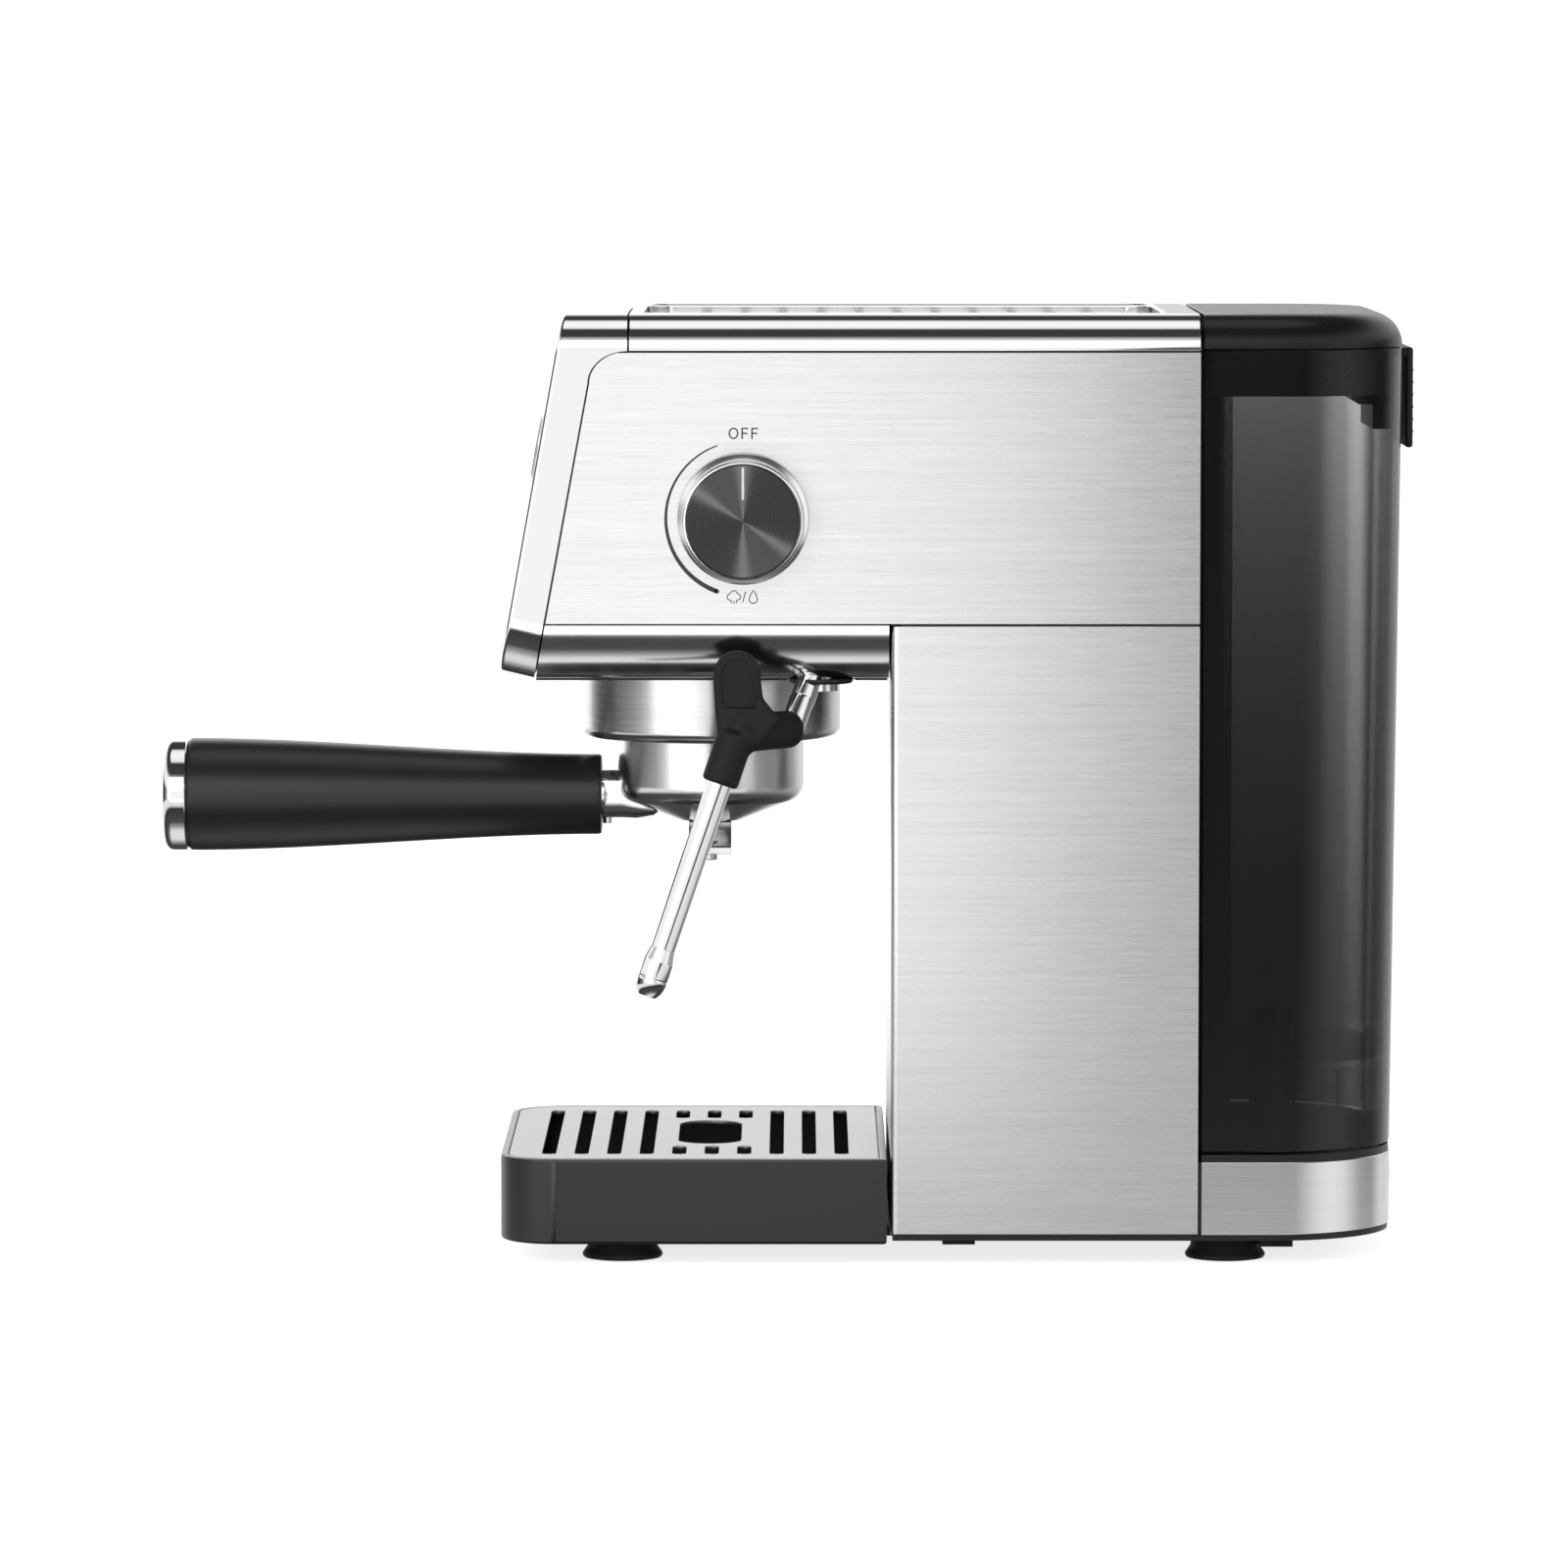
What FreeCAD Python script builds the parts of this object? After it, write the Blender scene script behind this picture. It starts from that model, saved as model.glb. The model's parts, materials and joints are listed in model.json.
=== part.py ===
import FreeCAD, Part
import math
import os

os.makedirs("parts", exist_ok=True)
V = FreeCAD.Vector

# A slim pump espresso machine.
# Frame: X = 0 is the middle plane (+X is the steam side), Y = 0 is the brew axis with the
# user at -Y, and Z = 0 is the surface that the feet stand on. Millimetres.

# ---- overall driving dimensions ------------------------------------------------------------------
HEIGHT = 305.3            # counter to the top of the cover and the lid
WIDTH = 150.0             # across the side panels
FRONT_REACH = 67.1        # brew axis to the front of the tray and of the head
COLUMN_FRONT = 58.5       # brew axis to the front face of the column
COLUMN_DEPTH = 98.6       # front face of the column to the rear edge of the side panels
TANK_DEPTH = 65.6         # front to back of the water tank at its top
TANK_DRAFT = 2.9          # the tank is this much shallower at its foot
HEAD_BOTTOM = 188.0       # counter to the underside of the head
BODY_GAP = 1.2            # between the column and what slides beside it
SHEET = 0.8               # steel panels
SKIN = 1.2                # formed covers: fascia, top cover, head bottom
SEAM = 0.6                # gap between neighbouring panels
SLIDE_GAP = 0.3           # gap round a sliding or turning piece
REAR_CORNER = 40.0        # plan radius of the two rear corners

# ---- base ----------------------------------------------------------------------------------------
SILL_BOTTOM = 8.1         # counter to the base plate
SILL = 2.0                # thickness of the base plate
BAND_HEIGHT = 23.3        # steel band round the rear of the base
DOCK_LIP = 2.5            # black lip between the band and the tank
DOCK_WALL = 2.5
TANK_LIFT = 0.7           # gap under the tank
PLINTH_INSET = 13.0       # low front part of the base, which the tray covers
PLINTH_FRONT = -50.0
PLINTH = 3.5
FOOT_RADIUS = 13.0
FOOT_INSET = 23.0         # side of the machine to the middle of a foot
FRONT_FOOT_Y = -28.0
REAR_FOOT_BACK = 9.9      # rear of the column to the middle of a rear foot
PAD_LENGTH = 10.5
PAD_WIDTH = 14.0
PAD_INSET = 18.0
FRONT_PAD = (-9.0, 2.1)   # y, thickness
COLUMN_PAD = (22.1, 2.6)  # behind the column's front, thickness
TANK_PAD = (24.7, 3.3)    # behind the tank's front, thickness
SCREW_RADIUS = 1.6
SCREW_LENGTH = 6.0
SCREW_HEAD = 3.0
SCREW_HEAD_HEIGHT = 1.6
SCREW_X = 34.0
SCREW_EDGE = 17.0         # from the column's front and rear, and behind the tank's middle
GLAND_HEIGHT = 11.9       # base plate to the middle of the cord gland
GLAND_RADIUS = 7.0
GLAND_FLANGE = 9.0
GLAND_FLANGE_THICK = 2.0
GLAND_BORE = 3.6
GLAND_LENGTH = 14.0

# ---- panels and chassis --------------------------------------------------------------------------
SIDE_SEAM_RISE = 18.0     # head bottom to the seam below the upper side panels
TOP_ROUND = 11.7          # quarter-round edge of the top cover and the fascia
BOTTOM_ROUND = 18.0       # rounded edge of the head bottom
PANEL_RETURN = 3.2        # the lower side panel's front edge turns in this far
PANEL_BEND = 1.6
NOSE_RISE = 2.3           # the fascia's foot is this far above the head bottom
LEAN = 20.6               # the fascia's top stands this much behind its foot
FASCIA_RETURN = 11.1      # depth of the fascia's foot
FASCIA_TOP = 20.8         # depth of the fascia's flat top
CORNER_SWEEP = 12.7       # depth of the curve that joins the side seam to the top seam
CORNER_DROP = 10.5        # and its height
SPINE_INSET = 13.0        # side of the machine to the spine that the tank slides along
SPINE_DEPTH = 7.6
SPINE_GAP = 1.2           # round the spine, in the channel of the tank
SPINE_WALL = 2.5
REAR_WALL = 2.4
FRAME_SHEET = 1.5
FRAME_INSET = 3.0
FRAME_BACK = 8.0          # rear of the column to the chassis upright
SHELF_RISE = 3.0          # side seam to the chassis shelf
SHELF_FRONT = -36.0

# ---- cup recess ----------------------------------------------------------------------------------
RECESS_SIDE = 17.0        # side of the machine to the recess
RECESS_FRONT_EDGE = 4.7   # fascia to the recess
RECESS_REAR_EDGE = 11.1   # recess to the rear of the column
RECESS_CORNER = 8.0
RECESS_DEPTH = 4.0
LEDGE = 3.0               # shelf inside the recess that carries the cup plate
PLATE_PLAY = 0.2
CUP_SLOT_PITCH = 12.9
CUP_SLOT_WIDTH = 3.2
CUP_SLOT_LENGTH = 20.0
CUP_SLOT_COLUMNS = 4
CUP_SLOT_EDGE = 4.0

# ---- buttons -------------------------------------------------------------------------------------
BUTTON_RADIUS = 10.5
BUTTON_PITCH = 33.0
BUTTON_UP = 72.0          # up the fascia from its foot to the row of buttons
BUTTON_TRAVEL = 2.0
BUTTON_PROUD = 1.6
BUTTON_DEPTH = 5.0        # skirt of a button behind the fascia's face
BUTTON_STEM = 2.5
BEZEL_WIDTH = 2.2
BEZEL_PROUD = 1.0
BEZEL_DEPTH = 7.0
BOARD_DEPTH = 14.0        # control board behind the fascia's face
BOARD = 1.6
BOARD_HALF = 50.0
BOARD_BELOW = 30.0
BOARD_ABOVE = 25.0
POWER_BOARD_FOOT = 110.0
POWER_BOARD_HEIGHT = 80.0

# ---- portafilter ---------------------------------------------------------------------------------
BOWL_RADIUS = 30.6
BOWL_WALL = 2.8
BOWL_DROP = 11.7          # head bottom to the rim of the bowl
BOWL_HEIGHT = 29.3        # rim to the shoulder
BOWL_TAPER = 9.5          # shoulder to the bottom of the bowl
BOWL_FOOT_RADIUS = 10.0
OUTLET_RADIUS = 4.0
LUG_REACH = 3.7
LUG_HEIGHT = 3.5
LUG_DROP = 5.3            # rim to the underside of the lugs
LUG_GAP = 0.5
LUG_ANGLE = 36.0
LUG_NOTCH = 10.0          # extra angle of the notches that let the lugs in
UNLOCK_ANGLE = -45.0
BASKET_WALL = 0.6
BASKET_DEPTH = 24.0
BASKET_PLAY = 0.9
ARM_HALF = 7.0
ARM_ROOT = 11.6           # outside of the bowl to the lower root of the arm
ARM_BELOW = 9.0           # bowl shoulder to the underside of the arm
ARM_ABOVE = 7.5
HANDLE_GAP = 4.9          # bowl to the handle
HANDLE_LENGTH = 135.4
HANDLE_CAP = 8.4
HANDLE_THIN = 13.15
HANDLE_THICK = 18.45
HANDLE_BORE = 4.0
HANDLE_LOW = 1.0          # handle axis below the shoulder
CAP_EDGE = 3.5
SPOUT_HEIGHT = 11.5
SPOUT_WIDTH = 14.0
SPOUT_HALF = 20.0
SPOUT_LIP = 5.0
SPOUT_BORE = 2.6
SPOUT_SCREW = 2.35
SPOUT_SCREW_LENGTH = 5.0
SPOUT_SCREW_PROUD = 1.6

# ---- group ---------------------------------------------------------------------------------------
GROUP_WALL = 2.2          # casting outside the lugs
COLLAR_WALL_WIDTH = 5.2   # brushed ring outside the casting
COLLAR_HEIGHT = 22.5
COLLAR_EDGE = 3.0
GROUP_INSET = 1.5         # the casting ends this far above the ring
GASKET_WIDTH = 7.1
GASKET_HEIGHT = 7.0
GASKET_PLAY = 0.3
SCREEN_DROP = 4.0
SCREEN_SCREW = 2.0
SCREEN_HOLE = 0.6
SCREEN_PITCH = 3.6
BOILER_RADIUS = 36.0
BOILER_WALL = 3.0
BOILER_RISE = 12.0        # head bottom to the boiler
BOILER_HEIGHT = 50.0
BOILER_LID = 7.0
THERMOSTAT_X = 14.0

# ---- pump and hoses ------------------------------------------------------------------------------
HOSE_RADIUS = 3.5
HOSE_BEND = 8.75
PUMP_RADIUS = 9.0
PUMP_SPIGOT = 3.0
PUMP_FOOT = 42.0
PUMP_LENGTH = 108.0
COIL_HALF = 24.0
COIL_RISE = 20.0
COIL_HEIGHT = 44.0
MOUNT_LENGTH = 11.6
MOUNT_SIZE = 10.0

# ---- steam side ----------------------------------------------------------------------------------
KNOB_RADIUS = 19.4
KNOB_RING = 21.0
KNOB_REACH = 20.7
KNOB_GAP = 0.8
KNOB_CAP = 2.0
KNOB_Y = 11.3
KNOB_RISE = 34.2          # side seam to the knob's axis
STEM_RADIUS = 3.0
STEM_DEPTH = 6.0
STEM_ROOM = 1.5
VALVE_INSET = 13.0        # side of the machine to the valve
VALVE_HALF = 10.0
PIPE_RADIUS = 4.0
PIPE_INSET = 19.0
PIPE_Y = 36.2
PIPE_BEND = 10.0
PIPE_ABOVE = 10.0         # the pipe's top above the head bottom
WAND_DROP = 15.6          # head bottom to the pipe's level run
WAND_OUT = 9.0            # the level run ends this far outside the side panel
WAND_Y = 13.3
GRIP_RADIUS = 6.0
TUBE_RADIUS = 4.0
SLEEVE_TOP = (0.4, 9.3, 0.0)        # from the end of the level run: x and z, with y from the axis
TUBE_TOP = (1.3, 3.7, -16.3)
TIP_END = (6.0, -19.5, -83.7)
TIP_RADIUS = 5.0
TIP_LENGTH = 16.0
TIP_ROUND = 2.5
TIP_BORE = 0.8
TAB_WIDTH = 15.6
TAB_HEIGHT = 26.0
TAB_THICK = 5.0
TAB_LEAN = 3.0
TAB_SHIFT = -3.4
SOCKET_START = 15.0       # along the level run, from the pipe's corner to the grip
ESCUTCHEON_RADIUS = 10.3
ESCUTCHEON_THICK = 1.6
ESCUTCHEON_EDGE = 0.8

# ---- tray ----------------------------------------------------------------------------------------
TRAY_BOTTOM = 6.9
TRAY_TOP = 34.4
TRAY_CORNER = 18.0
TRAY_WALL = 2.5
TRAY_RIM = 2.3
TRAY_FLOOR = 13.0
TRAY_REST = 3.0           # shelf inside the tray that carries the grill
GRILL = 1.4
GRILL_PITCH = 10.5
GRILL_SLOT = 4.5
GRILL_EDGE = 15.0         # side of the machine to the end of a slot
GRILL_ROWS = 10
GRILL_SHIFT = -4.35       # middle of the rows, from the brew axis
GRILL_MOUTH_LENGTH = 64.0
GRILL_MOUTH_WIDTH = 20.5
GRILL_MOUTH_EDGE = 6.5

# ---- tank ----------------------------------------------------------------------------------------
TANK_WALL = 2.5
TANK_FLOOR = 62.5
COLLAR_DEPTH = 14.8
COLLAR_WALL = 3.5
STEP_DEPTH = 13.0
STEP_DROP = 12.0
STEP_PLATE = 4.0
STEP_LEG = 6.0
GRIP_HALF = 30.0
GRIP_DROP = 32.8          # top of the tank to the foot of the grip
GRIP_THICK = 3.0
GRIP_STAND = 1.6          # the grip stands this far off the tank
SADDLE = 3.4
LID_GAP = 0.3
LID_SEAM = 0.5
LID_ROUND = 11.0
LID_WALL = 2.5
VALVE_BACK = 25.7         # tank's front to its valve
VALVE_RADIUS = 6.75
VALVE_NECK = 5.0
VALVE_NOSE = 2.0
FILTER_HEIGHT = 10.0

# ---- places worked out from the values above -----------------------------------------------------
HALF = WIDTH / 2
COLUMN_REAR = COLUMN_FRONT + COLUMN_DEPTH
TANK_FRONT = COLUMN_REAR + BODY_GAP
TANK_REAR = TANK_FRONT + TANK_DEPTH
BASE_REAR = TANK_REAR - TANK_DRAFT
SILL_TOP = SILL_BOTTOM + SILL
BAND_TOP = SILL_TOP + BAND_HEIGHT
DOCK_TOP = BAND_TOP + DOCK_LIP
TANK_FOOT = DOCK_TOP + TANK_LIFT
TOP_SEAM = HEIGHT - TOP_ROUND
LID_BOTTOM = TOP_SEAM + LID_SEAM
TANK_TOP = LID_BOTTOM - LID_GAP
HEAD_SEAM = HEAD_BOTTOM + SIDE_SEAM_RISE
NOSE_HEIGHT = HEAD_BOTTOM + NOSE_RISE
FASCIA_TOP_FRONT = LEAN - FRONT_REACH
FASCIA_TOP_REAR = FASCIA_TOP_FRONT + FASCIA_TOP
FASCIA_FOOT_REAR = FASCIA_RETURN - FRONT_REACH
FASCIA_LEAN = math.degrees(math.atan2(LEAN, HEIGHT - NOSE_HEIGHT))
SIDE_SEAM_TOP_Y = FASCIA_TOP_REAR - CORNER_SWEEP
SIDE_SEAM_TOP_Z = TOP_SEAM - CORNER_DROP
RECESS_HALF = HALF - RECESS_SIDE
RECESS_FRONT = FASCIA_TOP_REAR + RECESS_FRONT_EDGE
RECESS_REAR = COLUMN_REAR - RECESS_REAR_EDGE
SPINE_HALF = HALF - SPINE_INSET
SPINE_REAR = COLUMN_REAR + SPINE_DEPTH - SEAM
SPINE_FOOT = DOCK_TOP + 0.2
SHELF_Z = HEAD_SEAM + SHELF_RISE
FRAME_Y = COLUMN_REAR - FRAME_BACK
FRAME_HALF = HALF - FRAME_INSET
PLINTH_HALF = HALF - PLINTH_INSET
FOOT_X = HALF - FOOT_INSET
FOOT_ROWS = (FRONT_FOOT_Y, COLUMN_REAR + REAR_FOOT_BACK)
PAD_X = HALF - PAD_INSET
PADS = (FRONT_PAD, (COLUMN_FRONT + COLUMN_PAD[0], COLUMN_PAD[1]),
        (TANK_FRONT + TANK_PAD[0], TANK_PAD[1]))
SCREW_ROWS = (COLUMN_FRONT + SCREW_EDGE, COLUMN_REAR - SCREW_EDGE,
              (TANK_FRONT + BASE_REAR) / 2 + SCREW_EDGE / 2)
SCREW_SPOTS = [(x, y) for x in (-SCREW_X, SCREW_X) for y in SCREW_ROWS]
GLAND_Z = SILL_TOP + GLAND_HEIGHT
VALVE_Y = TANK_FRONT + VALVE_BACK

BOWL_TOP = HEAD_BOTTOM - BOWL_DROP
BOWL_SHOULDER = BOWL_TOP - BOWL_HEIGHT
BOWL_FOOT = BOWL_SHOULDER - BOWL_TAPER
LUG_BOTTOM = BOWL_TOP - LUG_DROP
ARM_BOTTOM = BOWL_SHOULDER - ARM_BELOW
ARM_TOP = BOWL_SHOULDER + ARM_ABOVE
HANDLE_HEIGHT = BOWL_SHOULDER - HANDLE_LOW
HANDLE_START = BOWL_RADIUS + HANDLE_GAP
HANDLE_END = HANDLE_START + HANDLE_LENGTH
SPOUT_FOOT = BOWL_FOOT - SPOUT_HEIGHT
LUG_WELL = BOWL_RADIUS + LUG_REACH + 2 * LUG_GAP
GROUP_RADIUS = LUG_WELL + GROUP_WALL
COLLAR_RADIUS = GROUP_RADIUS + COLLAR_WALL_WIDTH
COLLAR_BOTTOM = HEAD_BOTTOM - COLLAR_HEIGHT
HEAD_HOLE = max(GROUP_RADIUS, BOILER_RADIUS) + SEAM
GASKET_OUT = BOWL_RADIUS + 2.0
GASKET_IN = GASKET_OUT - GASKET_WIDTH
GASKET_BOTTOM = BOWL_TOP + BASKET_WALL + GASKET_PLAY
GASKET_TOP = GASKET_BOTTOM + GASKET_HEIGHT
SCREEN_RADIUS = GASKET_IN - SEAM
SCREEN_Z = GASKET_TOP - SCREEN_DROP
BOILER_FOOT = HEAD_BOTTOM + BOILER_RISE
BOILER_TOP = BOILER_FOOT + BOILER_HEIGHT
PUMP_TOP = PUMP_FOOT + PUMP_LENGTH
COIL_FOOT = PUMP_FOOT + COIL_RISE
PUMP_Y = FRAME_Y - FRAME_SHEET - MOUNT_LENGTH - COIL_HALF
KNOB_Z = HEAD_SEAM + KNOB_RISE
VALVE_OUTER = HALF - VALVE_INSET
VALVE_INNER = VALVE_OUTER - 2 * VALVE_HALF
PIPE_X = HALF - PIPE_INSET
PIPE_TOP = HEAD_BOTTOM + PIPE_ABOVE
WAND_X = HALF + WAND_OUT
WAND_LEVEL = HEAD_BOTTOM - WAND_DROP


# ---- helpers -------------------------------------------------------------------------------------
def block(x0, x1, y0, y1, z0, z1):
    """A box between two corners."""
    return Part.makeBox(x1 - x0, y1 - y0, z1 - z0, V(x0, y0, z0))


def rod(start, axis, radius, length):
    """A cylinder that starts at a point and runs along an axis."""
    return Part.makeCylinder(radius, length, V(*start), V(*axis))


def rod_between(start, end, radius):
    """A cylinder between two points."""
    run = V(*end) - V(*start)
    return Part.makeCylinder(radius, run.Length, V(*start), run)


def lathe(profile, centre=(0, 0, 0), axis=(0, 0, 1)):
    """Turn a closed (radius, height) outline about an axis."""
    wire = Part.makePolygon([V(r, 0, h) for r, h in profile + profile[:1]])
    body = Part.Face(wire).revolve(V(0, 0, 0), V(0, 0, 1), 360)
    turn = FreeCAD.Rotation(V(0, 0, 1), V(*axis))
    body.Placement = FreeCAD.Placement(V(*centre), turn)
    return body


def side_prism(points, x0, x1):
    """Extrude a closed (y, z) outline across the machine."""
    wire = Part.makePolygon([V(x0, y, z) for y, z in points + points[:1]])
    return Part.Face(wire).extrude(V(x1 - x0, 0, 0))


def front_prism(points, y0, y1):
    """Extrude a closed (x, z) outline front to back."""
    wire = Part.makePolygon([V(x, y0, z) for x, z in points + points[:1]])
    return Part.Face(wire).extrude(V(0, y1 - y0, 0))


def arc_points(cy, cz, radius, start, end, steps=10):
    """Points along an arc in a plane, angles in degrees."""
    turn = [math.radians(start + (end - start) * i / steps) for i in range(steps + 1)]
    return [(cy + radius * math.cos(a), cz + radius * math.sin(a)) for a in turn]


def plan_wire(half, front, rear, front_round, rear_round, z):
    """A closed plan outline with rounded front and rear corners."""
    edges = []
    corners = [(half, front, front_round, 270), (half, rear, rear_round, 0),
               (-half, rear, rear_round, 90), (-half, front, front_round, 180)]
    ends = []
    for x, y, r, start in corners:
        if r == 0:
            ends.append((V(x, y, z), V(x, y, z)))
            continue
        centre = V(x - math.copysign(r, x), y + (r if y == front else -r), z)
        points = []
        for angle in (start, start + 45, start + 90):
            a = math.radians(angle)
            points.append(centre + V(r * math.cos(a), r * math.sin(a), 0))
        edges.append((len(ends), Part.Arc(*points).toShape()))
        ends.append((points[0], points[2]))
    arcs = dict(edges)
    path = []
    for i in range(4):
        if i in arcs:
            path.append(arcs[i])
        path.append(Part.LineSegment(ends[i][1], ends[(i + 1) % 4][0]).toShape())
    return Part.Wire(path)


def plan_prism(half, front, rear, front_round, rear_round, z0, z1):
    """A plate with a rounded plan outline."""
    wire = plan_wire(half, front, rear, front_round, rear_round, z0)
    return Part.Face(wire).extrude(V(0, 0, z1 - z0))


def slot(x0, x1, y, width, z0, z1):
    """A cutter for a slot with round ends that runs across the machine."""
    r = width / 2
    return plan_prism((x1 - x0) / 2, y - r, y + r, r * 0.999, r * 0.999, z0, z1).translated(
        V((x0 + x1) / 2, 0, 0))


def tube_path(points, radius, bend):
    """A round bar along straight runs joined by tangent arcs."""
    spots = [V(*p) for p in points]
    edges = []
    last = spots[0]
    for i in range(1, len(spots) - 1):
        into = (spots[i] - spots[i - 1]).normalize()
        out = (spots[i + 1] - spots[i]).normalize()
        turn = into.getAngle(out)
        back = bend * math.tan(turn / 2)
        start = spots[i] - into * back
        end = spots[i] + out * back
        inward = (out - into).normalize()
        centre = spots[i] + inward * (bend / math.cos(turn / 2))
        middle = centre - inward * bend
        edges.append(Part.LineSegment(last, start).toShape())
        edges.append(Part.Arc(start, middle, end).toShape())
        last = end
    edges.append(Part.LineSegment(last, spots[-1]).toShape())
    path = Part.Wire(edges)
    circle = Part.makeCircle(radius, spots[0], spots[1] - spots[0])
    return path.makePipeShell([Part.Wire(circle)], True, False)


def mirrored(shape):
    """The same piece on the other side of the middle plane."""
    return shape.mirror(V(0, 0, 0), V(1, 0, 0))


def on_fascia(shape):
    """Lay a piece built in (x, depth, up the slope) on the leaning fascia."""
    turn = FreeCAD.Rotation(V(1, 0, 0), -FASCIA_LEAN)
    shape.Placement = FreeCAD.Placement(V(0, -FRONT_REACH, NOSE_HEIGHT), turn).multiply(shape.Placement)
    return shape


def save(name, *solids):
    """Write one node; several solids in it stay separate."""
    shape = solids[0] if len(solids) == 1 else Part.makeCompound(list(solids))
    found = len(shape.Solids)
    if found != len(solids) or not shape.isValid():
        raise ValueError(name + " has " + str(found) + " solids, or is not valid")
    shape = shape.Solids[0] if found == 1 else shape
    shape.exportStep("parts/" + name + ".step")
    print(name, found, round(shape.Volume / 1000.0, 2), "cm3")


# ---- base ----------------------------------------------------------------------------------------
def base_plate():
    """Black base plate, with the low plinth that the tray covers."""
    rear = plan_prism(HALF - 0.5, COLUMN_FRONT + SEAM, BASE_REAR - 0.5, 0, REAR_CORNER - 0.5,
                      SILL_BOTTOM, SILL_TOP)
    plinth = plan_prism(PLINTH_HALF, PLINTH_FRONT, COLUMN_FRONT + SEAM, 12, 0,
                        SILL_BOTTOM, SILL_BOTTOM + PLINTH)
    step = block(-HALF, HALF, COLUMN_FRONT - SLIDE_GAP, COLUMN_FRONT + SEAM, SILL_TOP, TRAY_TOP)
    plate = rear.fuse(plinth.cut(step))
    for x, y in SCREW_SPOTS:
        plate = plate.cut(rod((x, y, 0), (0, 0, 1), SCREW_RADIUS, 50))
    return plate.removeSplitter()


def case_screws():
    """Base screws: a head under the plate and a shank through it."""
    for x, y in SCREW_SPOTS:
        head = rod((x, y, SILL_BOTTOM - SCREW_HEAD_HEIGHT), (0, 0, 1), SCREW_HEAD, SCREW_HEAD_HEIGHT)
        yield head.fuse(rod((x, y, SILL_BOTTOM), (0, 0, 1), SCREW_RADIUS, SCREW_LENGTH))


def suction_feet():
    """Rubber cups with a flared rim, a neck and a hollow underside."""
    r = FOOT_RADIUS
    top = SILL_BOTTOM
    outline = [(0, 2.6), (r - 4, 1.6), (r - 1.2, 0), (r, 0), (r, 1.2), (r - 2.5, 3.6),
               (r - 5.5, 5.2), (r - 6, top), (0, top)]
    for y in FOOT_ROWS:
        for x in (-FOOT_X, FOOT_X):
            yield lathe(outline, (x, y, 0))


def rubber_pads():
    """Thin pads under the base."""
    for y, thick in PADS:
        for x in (-PAD_X, PAD_X):
            yield block(x - PAD_WIDTH / 2, x + PAD_WIDTH / 2, y - PAD_LENGTH / 2,
                        y + PAD_LENGTH / 2, SILL_BOTTOM - thick, SILL_BOTTOM)


def tank_dock():
    """Hollow black plinth under the tank, with a socket for its valve."""
    half = HALF - SHEET
    body = plan_prism(half, COLUMN_REAR, BASE_REAR - SHEET, 0, REAR_CORNER - SHEET,
                      SILL_TOP, BAND_TOP)
    lip = plan_prism(HALF - 0.4, TANK_FRONT, BASE_REAR - 0.4, 0, REAR_CORNER - 0.4,
                     BAND_TOP, DOCK_TOP)
    hollow = plan_prism(half - DOCK_WALL, COLUMN_REAR - 5, BASE_REAR - SHEET - DOCK_WALL, 0,
                        REAR_CORNER - SHEET - DOCK_WALL, SILL_TOP - 1, DOCK_TOP - DOCK_WALL)
    socket = rod((0, VALVE_Y, DOCK_TOP - DOCK_WALL - 1), (0, 0, 1), VALVE_RADIUS + 1.5, 9)
    gland = rod((0, BASE_REAR - 20, GLAND_Z), (0, 1, 0), GLAND_RADIUS, 30)
    return body.fuse(lip).cut(hollow).cut(socket).cut(gland).removeSplitter()


def cord_gland():
    """Round gland where the mains lead leaves the base; the lead itself is not fitted."""
    rear = BASE_REAR
    y0 = rear - GLAND_LENGTH
    body = rod((0, y0, GLAND_Z), (0, 1, 0), GLAND_RADIUS, GLAND_LENGTH)
    flange = rod((0, rear, GLAND_Z), (0, 1, 0), GLAND_FLANGE, GLAND_FLANGE_THICK)
    bore = rod((0, y0 - 1, GLAND_Z), (0, 1, 0), GLAND_BORE, GLAND_LENGTH + 5)
    return body.fuse(flange).cut(bore).removeSplitter()


def base_band():
    """Steel band wrapped round the rear of the base."""
    outer = plan_prism(HALF, TANK_FRONT, BASE_REAR, 0, REAR_CORNER, SILL_TOP, BAND_TOP)
    inner = plan_prism(HALF - SHEET, TANK_FRONT - 5, BASE_REAR - SHEET, 0, REAR_CORNER - SHEET,
                       SILL_TOP - 1, BAND_TOP + 1)
    gland = rod((0, BASE_REAR - 20, GLAND_Z), (0, 1, 0), GLAND_RADIUS, 30)
    return outer.cut(inner).cut(gland)


# ---- column and panels ---------------------------------------------------------------------------
def lower_side_panel():
    """Right lower panel; its front edge is bent round towards the column front."""
    top = HEAD_SEAM - SEAM / 2
    rear = COLUMN_REAR
    outer = plan_prism(HALF, COLUMN_FRONT, rear, PANEL_BEND, 0, SILL_TOP, top)
    inner = plan_prism(HALF - SHEET, COLUMN_FRONT + SHEET, rear + 5, PANEL_BEND - SHEET, 0,
                       SILL_TOP - 1, top + 1)
    shell = outer.cut(inner)
    return shell.cut(block(-HALF - 1, HALF - PANEL_RETURN, 0, rear + 10, 0, HEIGHT))


def column_front_panel():
    """Steel front of the column, below the head."""
    half = HALF - PANEL_RETURN - SEAM
    return block(-half, half, COLUMN_FRONT, COLUMN_FRONT + SHEET, SILL_TOP, HEAD_BOTTOM)


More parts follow.
